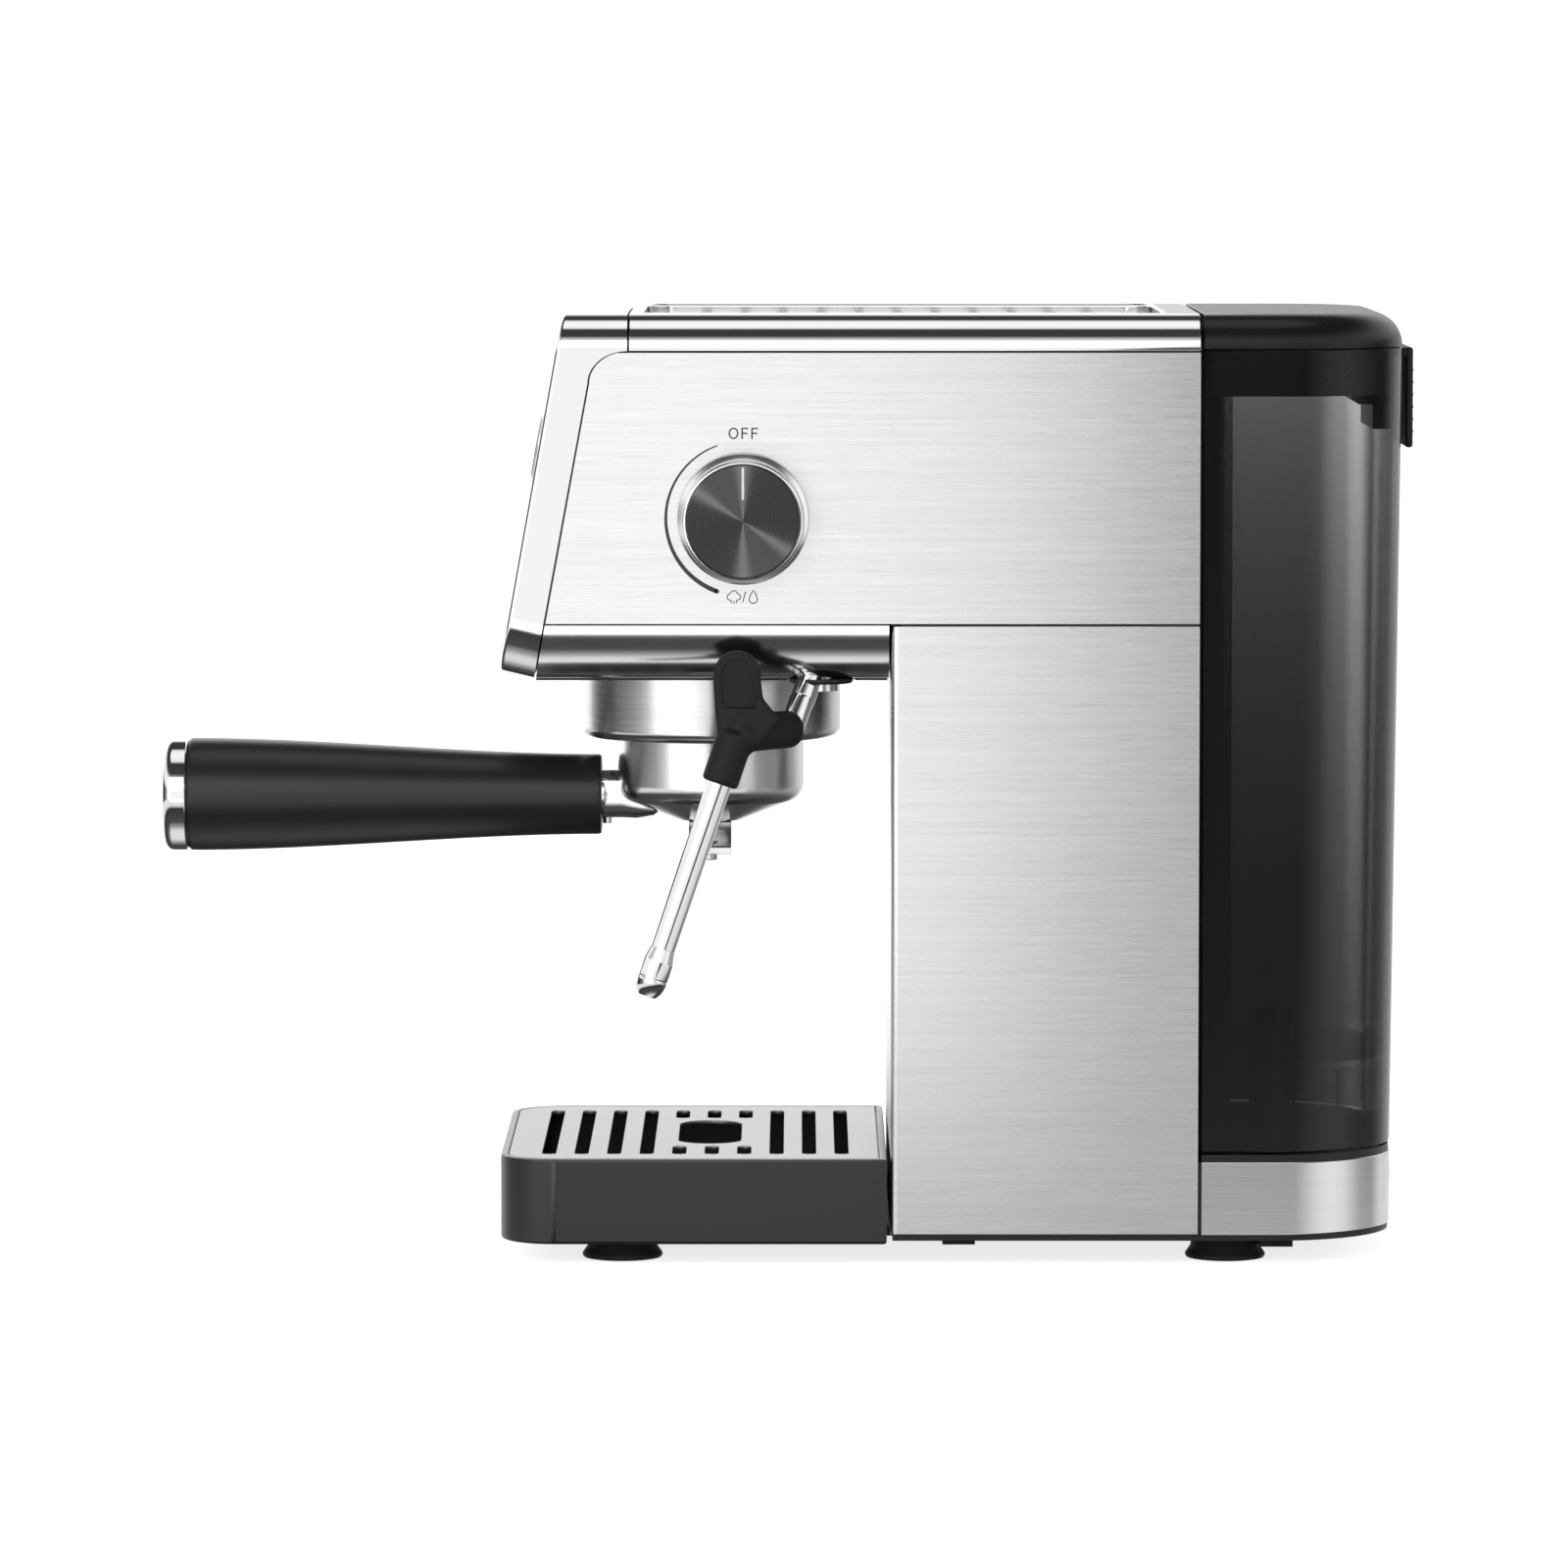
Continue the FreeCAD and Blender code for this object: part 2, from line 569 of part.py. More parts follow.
def side_seam():
    """The (y, z) line between the fascia and the side panels, from foot to top."""
    curve = arc_points(FASCIA_TOP_REAR, SIDE_SEAM_TOP_Z, 1.0, 180, 90, 8)
    bend = [(FASCIA_TOP_REAR + (y - FASCIA_TOP_REAR) * CORNER_SWEEP,
             SIDE_SEAM_TOP_Z + (z - SIDE_SEAM_TOP_Z) * CORNER_DROP) for y, z in curve]
    return [(FASCIA_FOOT_REAR, HEAD_BOTTOM)] + bend


def seam_y(z):
    """Where the straight part of the side seam is at a height."""
    share = (z - HEAD_BOTTOM) / (SIDE_SEAM_TOP_Z - HEAD_BOTTOM)
    return FASCIA_FOOT_REAR + share * (SIDE_SEAM_TOP_Y - FASCIA_FOOT_REAR)


def upper_side_panel():
    """Right upper panel, cut to the leaning seam; a hole lets the valve stem through."""
    low = HEAD_SEAM + SEAM / 2
    top = TOP_SEAM - SEAM / 2
    seam = [(y + SEAM, min(z, top)) for y, z in side_seam()[1:]]
    outline = [(seam_y(low) + SEAM, low)] + seam + [(COLUMN_REAR, top), (COLUMN_REAR, low)]
    outline = [p for i, p in enumerate(outline) if i == 0 or p != outline[i - 1]]
    return side_prism(outline, HALF - SHEET, HALF)


def column_rear_wall():
    """Black rear wall of the column, with the spine that the tank slides along."""
    rear = COLUMN_REAR - SEAM
    w = SPINE_WALL
    wall = block(-HALF + SHEET, HALF - SHEET, rear - REAR_WALL, rear, SPINE_FOOT, TOP_SEAM)
    spine = block(-SPINE_HALF, SPINE_HALF, rear - REAR_WALL, SPINE_REAR, SPINE_FOOT, TOP_SEAM)
    hollow = block(w - SPINE_HALF, SPINE_HALF - w, rear - 2 * REAR_WALL, SPINE_REAR - w,
                   SPINE_FOOT + w, TOP_SEAM - w)
    return wall.fuse(spine).cut(hollow).removeSplitter()


def inner_frame():
    """Folded chassis: a shelf for the boiler and an upright behind the pump."""
    shelf = block(-FRAME_HALF, FRAME_HALF, SHELF_FRONT, FRAME_Y, SHELF_Z, SHELF_Z + FRAME_SHEET)
    upright = block(-FRAME_HALF, FRAME_HALF, FRAME_Y - FRAME_SHEET, FRAME_Y, SILL_TOP, SHELF_Z)
    room = HOSE_RADIUS + 1
    holes = [rod((0, 0, SHELF_Z - 1), (0, 0, 1), BOILER_RADIUS + SEAM, 4),
             rod((0, PUMP_Y, SHELF_Z - 1), (0, 0, 1), room, 4),
             rod((PIPE_X, PIPE_Y, SHELF_Z - 1), (0, 0, 1), room, 4),
             rod((0, FRAME_Y - 5, GLAND_Z), (0, 1, 0), room, 10)]
    frame = shelf.fuse(upright)
    for hole in holes:
        frame = frame.cut(hole)
    return frame.removeSplitter()


# ---- head covers ---------------------------------------------------------------------------------
def head_section(inset):
    """The head's (x, z) outline, rounded above and below, moved in by an amount."""
    half = HALF - inset
    top = TOP_ROUND - inset
    low = BOTTOM_ROUND - inset
    z0 = HEAD_BOTTOM + inset
    z1 = HEIGHT - inset
    return (arc_points(half - top, z1 - top, top, 0, 90) +
            arc_points(-half + top, z1 - top, top, 90, 180) +
            arc_points(-half + low, z0 + low, low, 180, 270) +
            arc_points(half - low, z0 + low, low, 270, 360))


def fascia_solid(inset, overrun):
    """The space inside the leaning fascia's outer face, moved in by an amount."""
    u = V(0, math.sin(math.radians(FASCIA_LEAN)), math.cos(math.radians(FASCIA_LEAN)))
    foot = V(0, -FRONT_REACH, NOSE_HEIGHT) + V(0, u.z, -u.y) * inset
    low = foot + u * (inset - overrun)
    top = foot + u * ((HEIGHT - inset - foot.z) / u.z + overrun)
    seam = [(y + overrun, z) for y, z in side_seam()]
    outline = [(low.y, low.z), (top.y, top.z), (FASCIA_TOP_REAR + overrun, top.z)]
    outline += seam[::-1]
    if overrun:
        outline += [(seam[0][0], low.z)]
    side = side_prism(outline, -HALF, HALF)
    return side.common(front_prism(head_section(inset), -FRONT_REACH - 5, 40))


def button_spots():
    """Middle of each button across the fascia."""
    return [BUTTON_PITCH * i for i in (-1, 0, 1)]


def bezel_hole(x):
    """Cutter for one bezel, through the fascia."""
    return on_fascia(rod((x, -5, BUTTON_UP), (0, 1, 0), BUTTON_RADIUS + BEZEL_WIDTH, 12))


def front_panel():
    """Leaning steel fascia with returns along its sides, top and foot."""
    shell = fascia_solid(0, 0).cut(fascia_solid(SKIN, 6.0))
    for x in button_spots():
        shell = shell.cut(bezel_hole(x))
    return shell


def top_cover():
    """Polished cover with quarter-round edges and the cup recess."""
    y0 = FASCIA_TOP_REAR + SEAM
    outer = front_prism(head_section(0), y0, COLUMN_REAR)
    inner = front_prism(head_section(SKIN), y0 - 1, COLUMN_REAR - SKIN)
    keep = block(-HALF, HALF, y0 - 5, COLUMN_REAR + 5, TOP_SEAM, HEIGHT + 1)
    shell = outer.cut(inner).common(keep)
    plate_z = HEIGHT - RECESS_DEPTH
    pan = recess(SKIN, plate_z - 2 * SKIN, HEIGHT - SKIN / 2)
    shell = shell.fuse(pan).cut(recess(0, plate_z - SKIN, HEIGHT + 1))
    return shell.cut(recess(-LEDGE, 0, HEIGHT)).removeSplitter()


def recess(grow, z0, z1):
    """A block with the plan of the cup recess, grown by an amount."""
    return plan_prism(RECESS_HALF + grow, RECESS_FRONT - grow, RECESS_REAR + grow,
                      RECESS_CORNER + grow, RECESS_CORNER + grow, z0, z1)


def cup_plate():
    """Slotted plate that sits on the ledge of the recess."""
    z1 = HEIGHT - RECESS_DEPTH
    plate = recess(-PLATE_PLAY, z1 - SKIN, z1)
    rows = int((RECESS_REAR - RECESS_FRONT - CUP_SLOT_PITCH) / CUP_SLOT_PITCH)
    middle = (RECESS_REAR + RECESS_FRONT) / 2
    columns = CUP_SLOT_COLUMNS
    step = 2 * (RECESS_HALF - CUP_SLOT_EDGE) / columns
    cutters = []
    for i in range(rows):
        y = middle + (i - (rows - 1) / 2) * CUP_SLOT_PITCH
        for k in range(columns):
            x = (k - (columns - 1) / 2) * step
            cutters.append(slot(x - CUP_SLOT_LENGTH / 2, x + CUP_SLOT_LENGTH / 2, y,
                                CUP_SLOT_WIDTH, z1 - 5, z1 + 5))
    return plate.cut(Part.makeCompound(cutters))


def head_bottom_cover():
    """Polished trough under the head, with openings for the group and the steam pipe."""
    y0 = FASCIA_FOOT_REAR - 2
    outer = front_prism(head_section(0), y0, COLUMN_FRONT - SEAM)
    inner = front_prism(head_section(SKIN), y0 - 1, COLUMN_FRONT + 1)
    low = HEAD_BOTTOM - 1
    seam_z = HEAD_SEAM - SEAM / 2
    keep = side_prism([(seam_y(low) + SEAM, low), (seam_y(seam_z) + SEAM, seam_z),
                       (COLUMN_FRONT, seam_z), (COLUMN_FRONT, low)], -HALF, HALF)
    shell = outer.cut(inner).common(keep)
    shell = shell.cut(rod((0, 0, low - 5), (0, 0, 1), HEAD_HOLE, 20))
    return shell.cut(rod((PIPE_X, PIPE_Y, low - 5), (0, 0, 1), PIPE_RADIUS + STEM_ROOM, 20))


# ---- group ---------------------------------------------------------------------------------------
def group_collar():
    """Brushed ring round the group, with a rounded lower edge."""
    inner = GROUP_RADIUS
    edge = COLLAR_EDGE
    bend = arc_points(COLLAR_RADIUS - edge, COLLAR_BOTTOM + edge, edge, 270, 360, 6)
    return lathe([(inner, COLLAR_BOTTOM)] + bend + [(COLLAR_RADIUS, HEAD_BOTTOM),
                                                    (inner, HEAD_BOTTOM)])


def group_head():
    """Group casting: bayonet ledge below, a seat for the gasket, and a neck to the boiler."""
    low = COLLAR_BOTTOM + GROUP_INSET
    ledge = LUG_BOTTOM - LUG_GAP
    ledge_in = BOWL_RADIUS + LUG_GAP * 2
    wall_in = LUG_WELL
    neck = (HEAD_BOTTOM + BOILER_FOOT) / 2
    bore = OUTLET_RADIUS
    outline = [(ledge_in, low), (GROUP_RADIUS, low), (GROUP_RADIUS, neck), (BOILER_RADIUS, neck),
               (BOILER_RADIUS, BOILER_FOOT), (bore, BOILER_FOOT), (bore, GASKET_TOP),
               (wall_in, GASKET_TOP), (wall_in, ledge), (ledge_in, ledge)]
    body = lathe(outline)
    for side in (0, 180):
        notch = lug(wall_in, low - 1, ledge + 1, LUG_ANGLE + LUG_NOTCH)
        body = body.cut(notch.rotate(V(0, 0, 0), V(0, 0, 1), side + UNLOCK_ANGLE))
    return body


def lug(reach, z0, z1, angle):
    """A ring sector about +X that stands out from the bowl's side."""
    ring = rod((0, 0, z0), (0, 0, 1), reach, z1 - z0)
    ring = ring.cut(rod((0, 0, z0), (0, 0, 1), BOWL_RADIUS - 1, z1 - z0))
    reach2 = reach * 2
    side = reach2 * math.tan(math.radians(angle / 2))
    wedge = Part.makePolygon([V(0, 0, z0), V(reach2, -side, z0), V(reach2, side, z0), V(0, 0, z0)])
    return ring.common(Part.Face(wedge).extrude(V(0, 0, z1 - z0)))


def group_gasket():
    """Rubber ring that the portafilter's rim seals against."""
    return lathe([(GASKET_IN, GASKET_BOTTOM), (GASKET_OUT, GASKET_BOTTOM),
                  (GASKET_OUT, GASKET_TOP), (GASKET_IN, GASKET_TOP)])


def shower_screen():
    """Perforated disc under the group, inside the gasket."""
    z = SCREEN_Z
    disc = rod((0, 0, z), (0, 0, 1), SCREEN_RADIUS, SHEET)
    disc = disc.cut(rod((0, 0, z - 1), (0, 0, 1), SCREEN_SCREW, 4))
    holes = []
    for ring in range(2, int((SCREEN_RADIUS - 2 * SCREEN_HOLE) / SCREEN_PITCH) + 1):
        for k in range(ring * 6):
            a = 2 * math.pi * k / (ring * 6)
            x = ring * SCREEN_PITCH * math.cos(a)
            y = ring * SCREEN_PITCH * math.sin(a)
            holes.append(rod((x, y, z - 1), (0, 0, 1), SCREEN_HOLE, 3))
    return disc.cut(Part.makeCompound(holes))


def shower_screw():
    """Screw that holds the shower screen."""
    z = SCREEN_Z
    head = rod((0, 0, z - SKIN), (0, 0, 1), 2 * SCREEN_SCREW, SKIN)
    return head.fuse(rod((0, 0, z), (0, 0, 1), SCREEN_SCREW, SCREEN_DROP * 3)).removeSplitter()


def boiler_body():
    """Hollow boiler above the group."""
    r = BOILER_RADIUS
    w = BOILER_WALL
    foot = BOILER_FOOT
    bore = OUTLET_RADIUS
    return lathe([(bore, foot), (r, foot), (r, BOILER_TOP), (r - w, BOILER_TOP), (r - w, foot + w),
                  (bore, foot + w)])


def boiler_top():
    """Flanged lid of the boiler."""
    r = BOILER_RADIUS
    top = BOILER_TOP + BOILER_LID
    return lathe([(0, BOILER_TOP), (r + 2, BOILER_TOP), (r + 2, BOILER_TOP + BOILER_LID / 2),
                  (r - 6, top), (0, top)])


def thermostats():
    """Two thermostats on the boiler lid."""
    for x in (-THERMOSTAT_X, THERMOSTAT_X):
        yield rod((x, 0, BOILER_TOP + BOILER_LID), (0, 0, 1), THERMOSTAT_X / 2, 6.0)


# ---- water and steam works -----------------------------------------------------------------------
def pump_coil():
    """Square coil block of the vibration pump."""
    coil = block(-COIL_HALF, COIL_HALF, PUMP_Y - COIL_HALF, PUMP_Y + COIL_HALF, COIL_FOOT,
                 COIL_FOOT + COIL_HEIGHT)
    return coil.cut(rod((0, PUMP_Y, COIL_FOOT - 1), (0, 0, 1), PUMP_RADIUS, COIL_HEIGHT + 2))


def pump_body():
    """Pump tube through the coil, with a spigot at each end."""
    r = PUMP_RADIUS
    nib = PUMP_SPIGOT
    low = PUMP_FOOT + r
    top = PUMP_TOP - r
    return lathe([(0, PUMP_FOOT), (nib, PUMP_FOOT), (nib, low), (r, low), (r, top), (nib, top),
                  (nib, PUMP_TOP), (0, PUMP_TOP)], (0, PUMP_Y, 0))


def pump_mounts():
    """Rubber blocks between the coil and the upright."""
    y0 = PUMP_Y + COIL_HALF
    size = MOUNT_SIZE
    for z in (COIL_FOOT + size / 2, COIL_FOOT + COIL_HEIGHT - size * 1.5):
        yield block(-size, size, y0, FRAME_Y - FRAME_SHEET, z, z + size)


def hoses():
    """Suction hose to the pump, pressure hose to the boiler, and steam hose to the wand."""
    y = PUMP_Y
    top = DOCK_TOP - DOCK_WALL - SLIDE_GAP
    yield tube_path([(0, VALVE_Y, top), (0, VALVE_Y, GLAND_Z), (0, y, GLAND_Z),
                     (0, y, PUMP_FOOT)], HOSE_RADIUS, HOSE_BEND / 2)
    rise = (BOILER_FOOT + BOILER_TOP) / 2
    yield tube_path([(0, y, PUMP_TOP), (0, y, rise), (0, BOILER_RADIUS + SLIDE_GAP, rise)],
                    HOSE_RADIUS, HOSE_BEND)
    z = KNOB_Z - VALVE_HALF / 2
    yield tube_path([(PIPE_X, KNOB_Y + VALVE_HALF, z), (PIPE_X, PIPE_Y, z),
                     (PIPE_X, PIPE_Y, PIPE_TOP + SEAM)], HOSE_RADIUS, HOSE_BEND)


def steam_valve_body():
    """Brass valve on a foot, with a bore for the knob's stem."""
    x0 = VALVE_INNER
    x1 = VALVE_OUTER
    body = block(x0, x1, KNOB_Y - VALVE_HALF, KNOB_Y + VALVE_HALF, KNOB_Z - VALVE_HALF,
                 KNOB_Z + VALVE_HALF)
    foot = block(x0 + 3, x1 - 3, KNOB_Y - 6, KNOB_Y + 6, SHELF_Z + FRAME_SHEET,
                 KNOB_Z - VALVE_HALF)
    bore = rod((x1 - STEM_DEPTH - 0.5, KNOB_Y, KNOB_Z), (1, 0, 0), STEM_RADIUS + SLIDE_GAP,
               STEM_DEPTH + 5)
    return body.fuse(foot).cut(bore).removeSplitter()


def steam_escutcheon():
    """Black disc where the steam pipe leaves the head."""
    z0 = HEAD_BOTTOM - ESCUTCHEON_THICK
    r = ESCUTCHEON_RADIUS
    edge = ESCUTCHEON_EDGE
    bore = PIPE_RADIUS + SLIDE_GAP
    return lathe([(bore, z0), (r - edge, z0), (r, z0 + edge), (r, HEAD_BOTTOM), (bore, HEAD_BOTTOM)],
                 (PIPE_X, PIPE_Y, 0))


def control_board():
    """Button circuit board, parallel to the fascia."""
    return on_fascia(block(-BOARD_HALF, BOARD_HALF, BOARD_DEPTH, BOARD_DEPTH + BOARD,
                           BUTTON_UP - BOARD_BELOW, BUTTON_UP + BOARD_ABOVE))


def power_board():
    """Mains board on the left of the column."""
    x = BOARD * 2 - FRAME_HALF
    return block(x, x + BOARD, COLUMN_FRONT + SCREW_EDGE, FRAME_Y - FRAME_SHEET - FRAME_INSET,
                 POWER_BOARD_FOOT, POWER_BOARD_FOOT + POWER_BOARD_HEIGHT)


# ---- buttons -------------------------------------------------------------------------------------
def button_bezels():
    """Chrome rings set in the fascia round the buttons."""
    for x in button_spots():
        outer = rod((x, -BEZEL_PROUD, BUTTON_UP), (0, 1, 0), BUTTON_RADIUS + BEZEL_WIDTH,
                    BEZEL_PROUD + BEZEL_DEPTH)
        bore = rod((x, -3, BUTTON_UP), (0, 1, 0), BUTTON_RADIUS + SLIDE_GAP, 20)
        yield on_fascia(outer.cut(bore))


def button(x):
    """A push button with a thin stem towards its switch."""
    cap = rod((x, -BUTTON_PROUD, BUTTON_UP), (0, 1, 0), BUTTON_RADIUS, BUTTON_PROUD + BUTTON_DEPTH)
    reach = BOARD_DEPTH - BUTTON_TRAVEL - SLIDE_GAP
    cap = cap.fuse(rod((x, 0, BUTTON_UP), (0, 1, 0), BUTTON_STEM, reach))
    return on_fascia(cap.removeSplitter())


# ---- steam knob ----------------------------------------------------------------------------------
def steam_knob():
    """Chrome skirt and drum of the knob, bored for the stem."""
    x0 = KNOB_GAP
    profile = [(STEM_RADIUS, x0), (KNOB_RING, x0), (KNOB_RING, x0 + 2.2), (KNOB_RADIUS, x0 + 3.0),
               (KNOB_RADIUS, KNOB_REACH - KNOB_CAP), (STEM_RADIUS, KNOB_REACH - KNOB_CAP)]
    return lathe(profile, (HALF, KNOB_Y, KNOB_Z), (1, 0, 0))


def knob_face():
    """Spun face of the knob."""
    x0 = KNOB_REACH - KNOB_CAP
    r = KNOB_RADIUS
    return lathe([(0, x0), (r, x0), (r, KNOB_REACH - 1), (r - 1, KNOB_REACH), (0, KNOB_REACH)],
                 (HALF, KNOB_Y, KNOB_Z), (1, 0, 0))


def valve_stem():
    """Steel stem from the valve into the knob."""
    start = VALVE_OUTER - STEM_DEPTH
    return rod((start, KNOB_Y, KNOB_Z), (1, 0, 0), STEM_RADIUS, HALF + KNOB_REACH - KNOB_CAP - start)


# ---- steam wand ----------------------------------------------------------------------------------
def wand_point(offset):
    """A point of the wand, from the end of its level run; y is from the brew axis."""
    return (WAND_X + offset[0], offset[1], WAND_LEVEL + offset[2])


def wand_line():
    """Corners of the wand: top, under the head, end of the level run."""
    return [(PIPE_X, PIPE_Y, PIPE_TOP), (PIPE_X, PIPE_Y, WAND_LEVEL), (WAND_X, WAND_Y, WAND_LEVEL)]


def socket_start():
    """Where the grip's socket begins on the level run."""
    corner, end = [V(*p) for p in wand_line()[1:]]
    run = (end - corner).normalize()
    return corner + run * SOCKET_START


def steam_pipe():
    """Chrome pipe from the head, bent forward into the grip."""
    points = wand_line()[:2] + [tuple(socket_start())]
    return tube_path(points, PIPE_RADIUS, PIPE_BEND)


def steam_grip():
    """Black grip: a socket for the pipe, a thumb tab and a sleeve for the tube."""
    joint = V(WAND_X, WAND_Y, WAND_LEVEL)
    start = socket_start()
    socket = rod_between(tuple(start), tuple(joint), GRIP_RADIUS)
    knuckle = Part.makeSphere(GRIP_RADIUS + 1.0, joint + V(0, -1.5, 0))
    sleeve = rod_between(wand_point(SLEEVE_TOP), wand_point(TUBE_TOP), GRIP_RADIUS)
    r = TAB_WIDTH / 2
    tab = block(WAND_X - TAB_THICK / 2, WAND_X + TAB_THICK / 2, -r, r, 0, TAB_HEIGHT - r)
    tab = tab.fuse(rod((WAND_X - TAB_THICK / 2, 0, TAB_HEIGHT - r), (1, 0, 0), r, TAB_THICK))
    tab.rotate(V(0, 0, 0), V(1, 0, 0), TAB_LEAN)
    tab.translate(V(0, WAND_Y + TAB_SHIFT, WAND_LEVEL))
    grip = socket.fuse([knuckle, sleeve, tab.removeSplitter()]).removeSplitter()
    return grip.cut(rod_between(wand_point(TUBE_TOP), wand_point(TIP_END), TUBE_RADIUS))


def wand_tube():
    """Chrome tube below the grip."""
    start = V(*wand_point(TUBE_TOP))
    tip = V(*wand_point(TIP_END))
    end = tip - (tip - start).normalize() * TIP_LENGTH
    return rod_between(tuple(start), tuple(end), TUBE_RADIUS)


def wand_tip():
    """Steel nozzle with a rounded end and a bore."""
    tip = V(*wand_point(TIP_END))
    run = (tip - V(*wand_point(TUBE_TOP))).normalize()
    dome = arc_points(TIP_RADIUS - TIP_ROUND, TIP_LENGTH - TIP_ROUND, TIP_ROUND, 0, 90, 6)
    outline = [(TIP_BORE, 0), (TIP_RADIUS, 0)] + dome + [(TIP_BORE, TIP_LENGTH)]
    start = tip - run * TIP_LENGTH
    return lathe(outline, tuple(start), tuple(run))


# ---- portafilter ---------------------------------------------------------------------------------
def portafilter_bowl():
    """Chromed bowl with two bayonet lugs and the arm for the handle."""
    r = BOWL_RADIUS
    inner = r - BOWL_WALL
    foot = BOWL_FOOT
    span = r - BOWL_FOOT_RADIUS
    curve = arc_points(0, 0, 1, 270, 360, 8)
    under = [(BOWL_FOOT_RADIUS + span * y, BOWL_SHOULDER + BOWL_TAPER * z) for y, z in curve]
    floor = BOWL_SHOULDER - BOWL_WALL
    well = inner - BOWL_WALL
    outline = [(OUTLET_RADIUS, foot)] + under + [(r, BOWL_TOP), (inner, BOWL_TOP)]
    outline += [(inner, BOWL_SHOULDER + BOWL_WALL), (well, BOWL_SHOULDER), (OUTLET_RADIUS, floor)]
    body = lathe(outline)
    arm = block(-ARM_HALF, ARM_HALF, -HANDLE_START, ARM_ROOT - r, ARM_BOTTOM, ARM_TOP)
    body = body.fuse(arm)
    for side in (0, 180):
        ear = lug(r + LUG_REACH, LUG_BOTTOM, LUG_BOTTOM + LUG_HEIGHT, LUG_ANGLE)
        body = body.fuse(ear.rotate(V(0, 0, 0), V(0, 0, 1), side))
    inside = [(0, floor), (OUTLET_RADIUS, floor), (well, BOWL_SHOULDER), (inner, BOWL_SHOULDER + BOWL_WALL),
              (inner, HEIGHT), (0, HEIGHT)]
    bolt = rod((0, -HANDLE_START - 1, HANDLE_HEIGHT), (0, 1, 0), HANDLE_BORE, HANDLE_BORE + 1)
    body = body.cut(lathe(inside)).cut(bolt)
    return body.removeSplitter()


def filter_basket():
    """Thin steel basket whose flange sits on the bowl's rim."""
    r = BOWL_RADIUS - BOWL_WALL - BASKET_PLAY
    w = BASKET_WALL
    rim = BOWL_RADIUS - w
    top = BOWL_TOP + w
    foot = top - BASKET_DEPTH
    chamfer = BOWL_WALL
    return lathe([(0, foot), (r - chamfer, foot), (r, foot + chamfer), (r, BOWL_TOP), (rim, BOWL_TOP),
                  (rim, top), (r - w, top), (r - w, foot + chamfer + w), (r - chamfer - w, foot + w),
                  (0, foot + w)])


def basket_spring():
    """Wire ring that holds the basket in the bowl."""
    major = BOWL_RADIUS - BOWL_WALL - BASKET_PLAY / 2
    return Part.makeTorus(major, BASKET_PLAY / 2 - 0.05, V(0, 0, BOWL_TOP - 6))


def spout():
    """Twin spout: a block under the bowl that parts into two outlets."""
    half = SPOUT_WIDTH / 2
    foot = SPOUT_FOOT
    lip = SPOUT_LIP
    edge = SPOUT_HALF
    boss = 2 * SPOUT_SCREW
    right = [(BOWL_FOOT_RADIUS - 1, BOWL_FOOT), (edge, foot + lip), (edge, foot), (edge - lip * 1.5, foot),
             (boss * 1.5, foot + lip * 0.7), (boss, foot)]
    left = [(-x, z) for x, z in reversed(right)]
    body = front_prism(right + left, -half, half)
    outlet = edge - lip * 0.8
    for side in (-1, 1):
        channel = rod_between((0, 0, BOWL_FOOT + 2), (side * outlet, 0, foot - 1), SPOUT_BORE)
        body = body.cut(channel)
    depth = SPOUT_SCREW_LENGTH - SPOUT_SCREW_PROUD
    return body.cut(rod((0, 0, foot - 1), (0, 0, 1), SPOUT_SCREW, depth + 1)).removeSplitter()


def spout_screw():
    """Screw under the spout."""
    return rod((0, 0, SPOUT_FOOT - SPOUT_SCREW_PROUD), (0, 0, 1), SPOUT_SCREW, SPOUT_SCREW_LENGTH)


def handle_outline():
    """(radius, distance from the brew axis) along the handle sleeve."""
    r0 = HANDLE_THIN
    r1 = HANDLE_THICK
    run = HANDLE_END - HANDLE_START
    points = []
    for i in range(13):
        t = i / 12
        swell = 3 * t * t - 2 * t * t * t
        points.append((r0 + (r1 - r0) * swell, HANDLE_START + run * t))
    return points


def handle_sleeve():
    """Black handle, swelling towards its end, bored for the bolt."""
    outline = handle_outline()
    outline = [(HANDLE_BORE, HANDLE_START), (HANDLE_THIN - 1, HANDLE_START)] + outline[1:]
    outline += [(HANDLE_BORE, HANDLE_END)]
    return lathe(outline, (0, 0, HANDLE_HEIGHT), (0, -1, 0))


def handle_cap():
    """Chrome end cap."""
    r = HANDLE_THICK
    end = HANDLE_END + HANDLE_CAP
    edge = arc_points(r - CAP_EDGE, end - CAP_EDGE, CAP_EDGE, 0, 90, 6)
    return lathe([(0, HANDLE_END), (r, HANDLE_END)] + edge + [(0, end)], (0, 0, HANDLE_HEIGHT),
                 (0, -1, 0))


def handle_bolt():
    """Steel bolt through the handle into the arm."""
    return rod((0, -HANDLE_END, HANDLE_HEIGHT), (0, 1, 0), HANDLE_BORE, HANDLE_LENGTH + HANDLE_BORE)


# ---- drip tray -----------------------------------------------------------------------------------
def tray_plan(inset, z0, z1, rear=0.0):
    """A block with the plan of the tray, moved in by an amount."""
    return plan_prism(HALF - inset, inset - FRONT_REACH, COLUMN_FRONT - BODY_GAP - inset + rear,
                      TRAY_CORNER - inset, 0, z0, z1)


